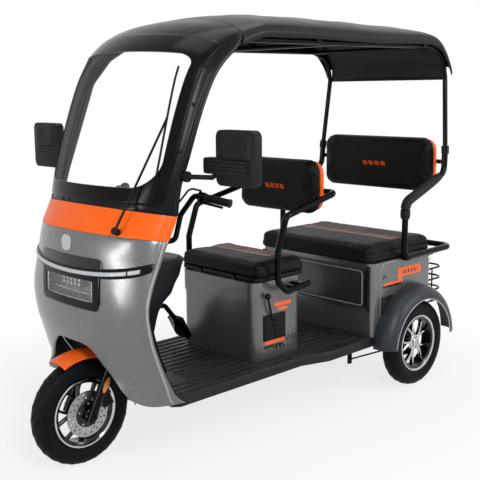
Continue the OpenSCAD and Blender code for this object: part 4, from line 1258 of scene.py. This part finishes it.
def front_hub():
    """Disc carrier with its bolts, and the rimmed reflectors on the fork legs."""
    place = at(FRONT, 50, WHEEL_R)
    carrier = [(17, 6), (24, 6.5), (30, 4.5), (44, 3.5), (52, 2.2), (53, 0.2), (40, -4.2), (30, -6), (27, -30),
               (17, -30)]
    spun("disc_carrier", "black_alloy", carrier, [(place, (0, 1, 0))], 48, "front_wheel", split=35, closed=True)
    bolt = [(0, 6.2), (3.6, 6.2), (4.6, 5.2), (4.6, 0)]
    turns = [math.radians(72 * k + 20) for k in range(5)]
    spots = [(place + Vector((0.043 * math.cos(r), 0.0025, 0.043 * math.sin(r))), (0, 1, 0)) for r in turns]
    spun("disc_bolts", "steel", bolt, spots, 12, "front_wheel")
    raked = Matrix.Translation(at(FRONT, 0, WHEEL_R)) @ Matrix.Rotation(math.radians(-RAKE), 4, "Y")
    lens = [(0, 4.6), (5, 4.3), (8, 3.2), (9.6, 1.2), (9.6, 0)]
    rim = [(9.2, 0), (9.2, 2.4), (10.2, 3.4), (11.6, 3.0), (12.2, 1.0), (11.4, -3.0), (9.2, -3.0)]
    for name, finish, profile, closed in (("fork_reflectors", "amber", lens, False),
                                          ("reflector_rims", "gloss", rim, True)):
        bm = bmesh.new()
        for side in (1, -1):
            made = revolve(bm, profile, (0, 0, 0), (0, side, 0), 32, closed=closed)
            for v in made:
                v.co = Vector((v.co.x * 1.3, v.co.y + side * (LEG_Y + 18) / 1000, 0.128 + v.co.z * 3.6))
            bmesh.ops.transform(bm, matrix=raked, verts=made)
        finish_piece(name, bm, finish, "steering")


def floor_corners():
    """The floor's front corners, turned up at the front body, and its skirt around the wheel's tunnel."""
    for label, side in SIDES:
        def corner(u, v):
            inner = 305 - 17 * u
            return at(1412 + 58 * u, side * (inner + (331 - inner) * v), 285 + 5 * v ** 3)

        def skirt(u, v):
            inner = 72 + 46 * u
            return at(1335 + 114 * u, side * (inner + (222 - inner) * v), 286.4)

        for name, point in (("floor_corner_", corner), ("floor_skirt_", skirt)):
            moulded_sheet(name + label, "tread", steps(0, 1, 8), steps(0, 1, 8), point, 0.003, (0, 0, 1))


mirror_backs()
visor()
front_hub()
floor_corners()
mudguards()
box_trim()
armrests()
controls()


# Studio

WHITE = grey(1.0)


def studio_floor():
    """A pale floor that fades to white around the vehicle."""
    made, net, shader, place = begin("studio_floor")
    distance = net.add("VectorMath", {0: place}, operation="LENGTH").outputs["Value"]
    far = net.ramp(distance, 1.0, 2.0, 0.78, 1.0)
    net.feed(shader, {"Base Color": net.mix(net.noise(place, 3.0, 4.0), grey(0.90), grey(0.92)),
                      "Roughness": 0.9, "Specular IOR Level": 0.1})
    glow = net.add("Emission", {"Color": WHITE, "Strength": 1.0}).outputs[0]
    both = net.add("MixShader", {0: net.times(net.seen_directly(), far), 1: shader.outputs[0], 2: glow})
    net.feed(made.node_tree.nodes["Material Output"], {"Surface": both.outputs[0]})
    bm = bmesh.new()
    bmesh.ops.create_grid(bm, x_segments=8, y_segments=8, size=14)
    floor = as_object("studio_floor", bm)
    floor.data.materials.append(made)


def studio_world():
    """White where it is seen directly, and a weak light elsewhere."""
    world = bpy.data.worlds.new("studio")
    scene.world = world
    world.use_nodes = True
    net = Net(world.node_tree)
    soft = world.node_tree.nodes["Background"]
    net.feed(soft, {"Color": WHITE, "Strength": 0.20})
    white = net.add("Background", {"Color": WHITE, "Strength": 1.0})
    both = net.add("MixShader", {0: net.seen_directly(), 1: soft.outputs[0], 2: white.outputs[0]})
    net.feed(world.node_tree.nodes["World Output"], {"Surface": both.outputs[0]})


def soft_box(name, place, aim, size, watts, lean=0.0):
    data = bpy.data.lights.new(name, "AREA")
    data.shape = "RECTANGLE"
    data.size, data.size_y = size
    data.energy = watts
    lamp = bpy.data.objects.new(name, data)
    way = Vector(aim) - Vector(place)
    turn = way.to_track_quat("-Z", "Y").to_matrix().to_4x4() @ Matrix.Rotation(math.radians(lean), 4, "Z")
    lamp.matrix_world = Matrix.Translation(place) @ turn
    scene.collection.objects.link(lamp)


studio_floor()
studio_world()
soft_box("key_light", (2.2, 4.2, 3.6), (0, 0, 0.7), (0.9, 2.6), 135)
soft_box("front_strip", (4.35, -0.1, 1.15), (0.95, 0.1, 0.75), (0.34, 2.6), 48, -49)
soft_box("fill_light", (-2.5, 4.0, 2.2), (-0.4, 0, 0.7), (0.7, 2.4), 75)
soft_box("top_light", (-0.2, 0.2, 4.4), (-0.2, 0, 0), (3.0, 2.0), 55)
scene.view_settings.view_transform = "Standard"
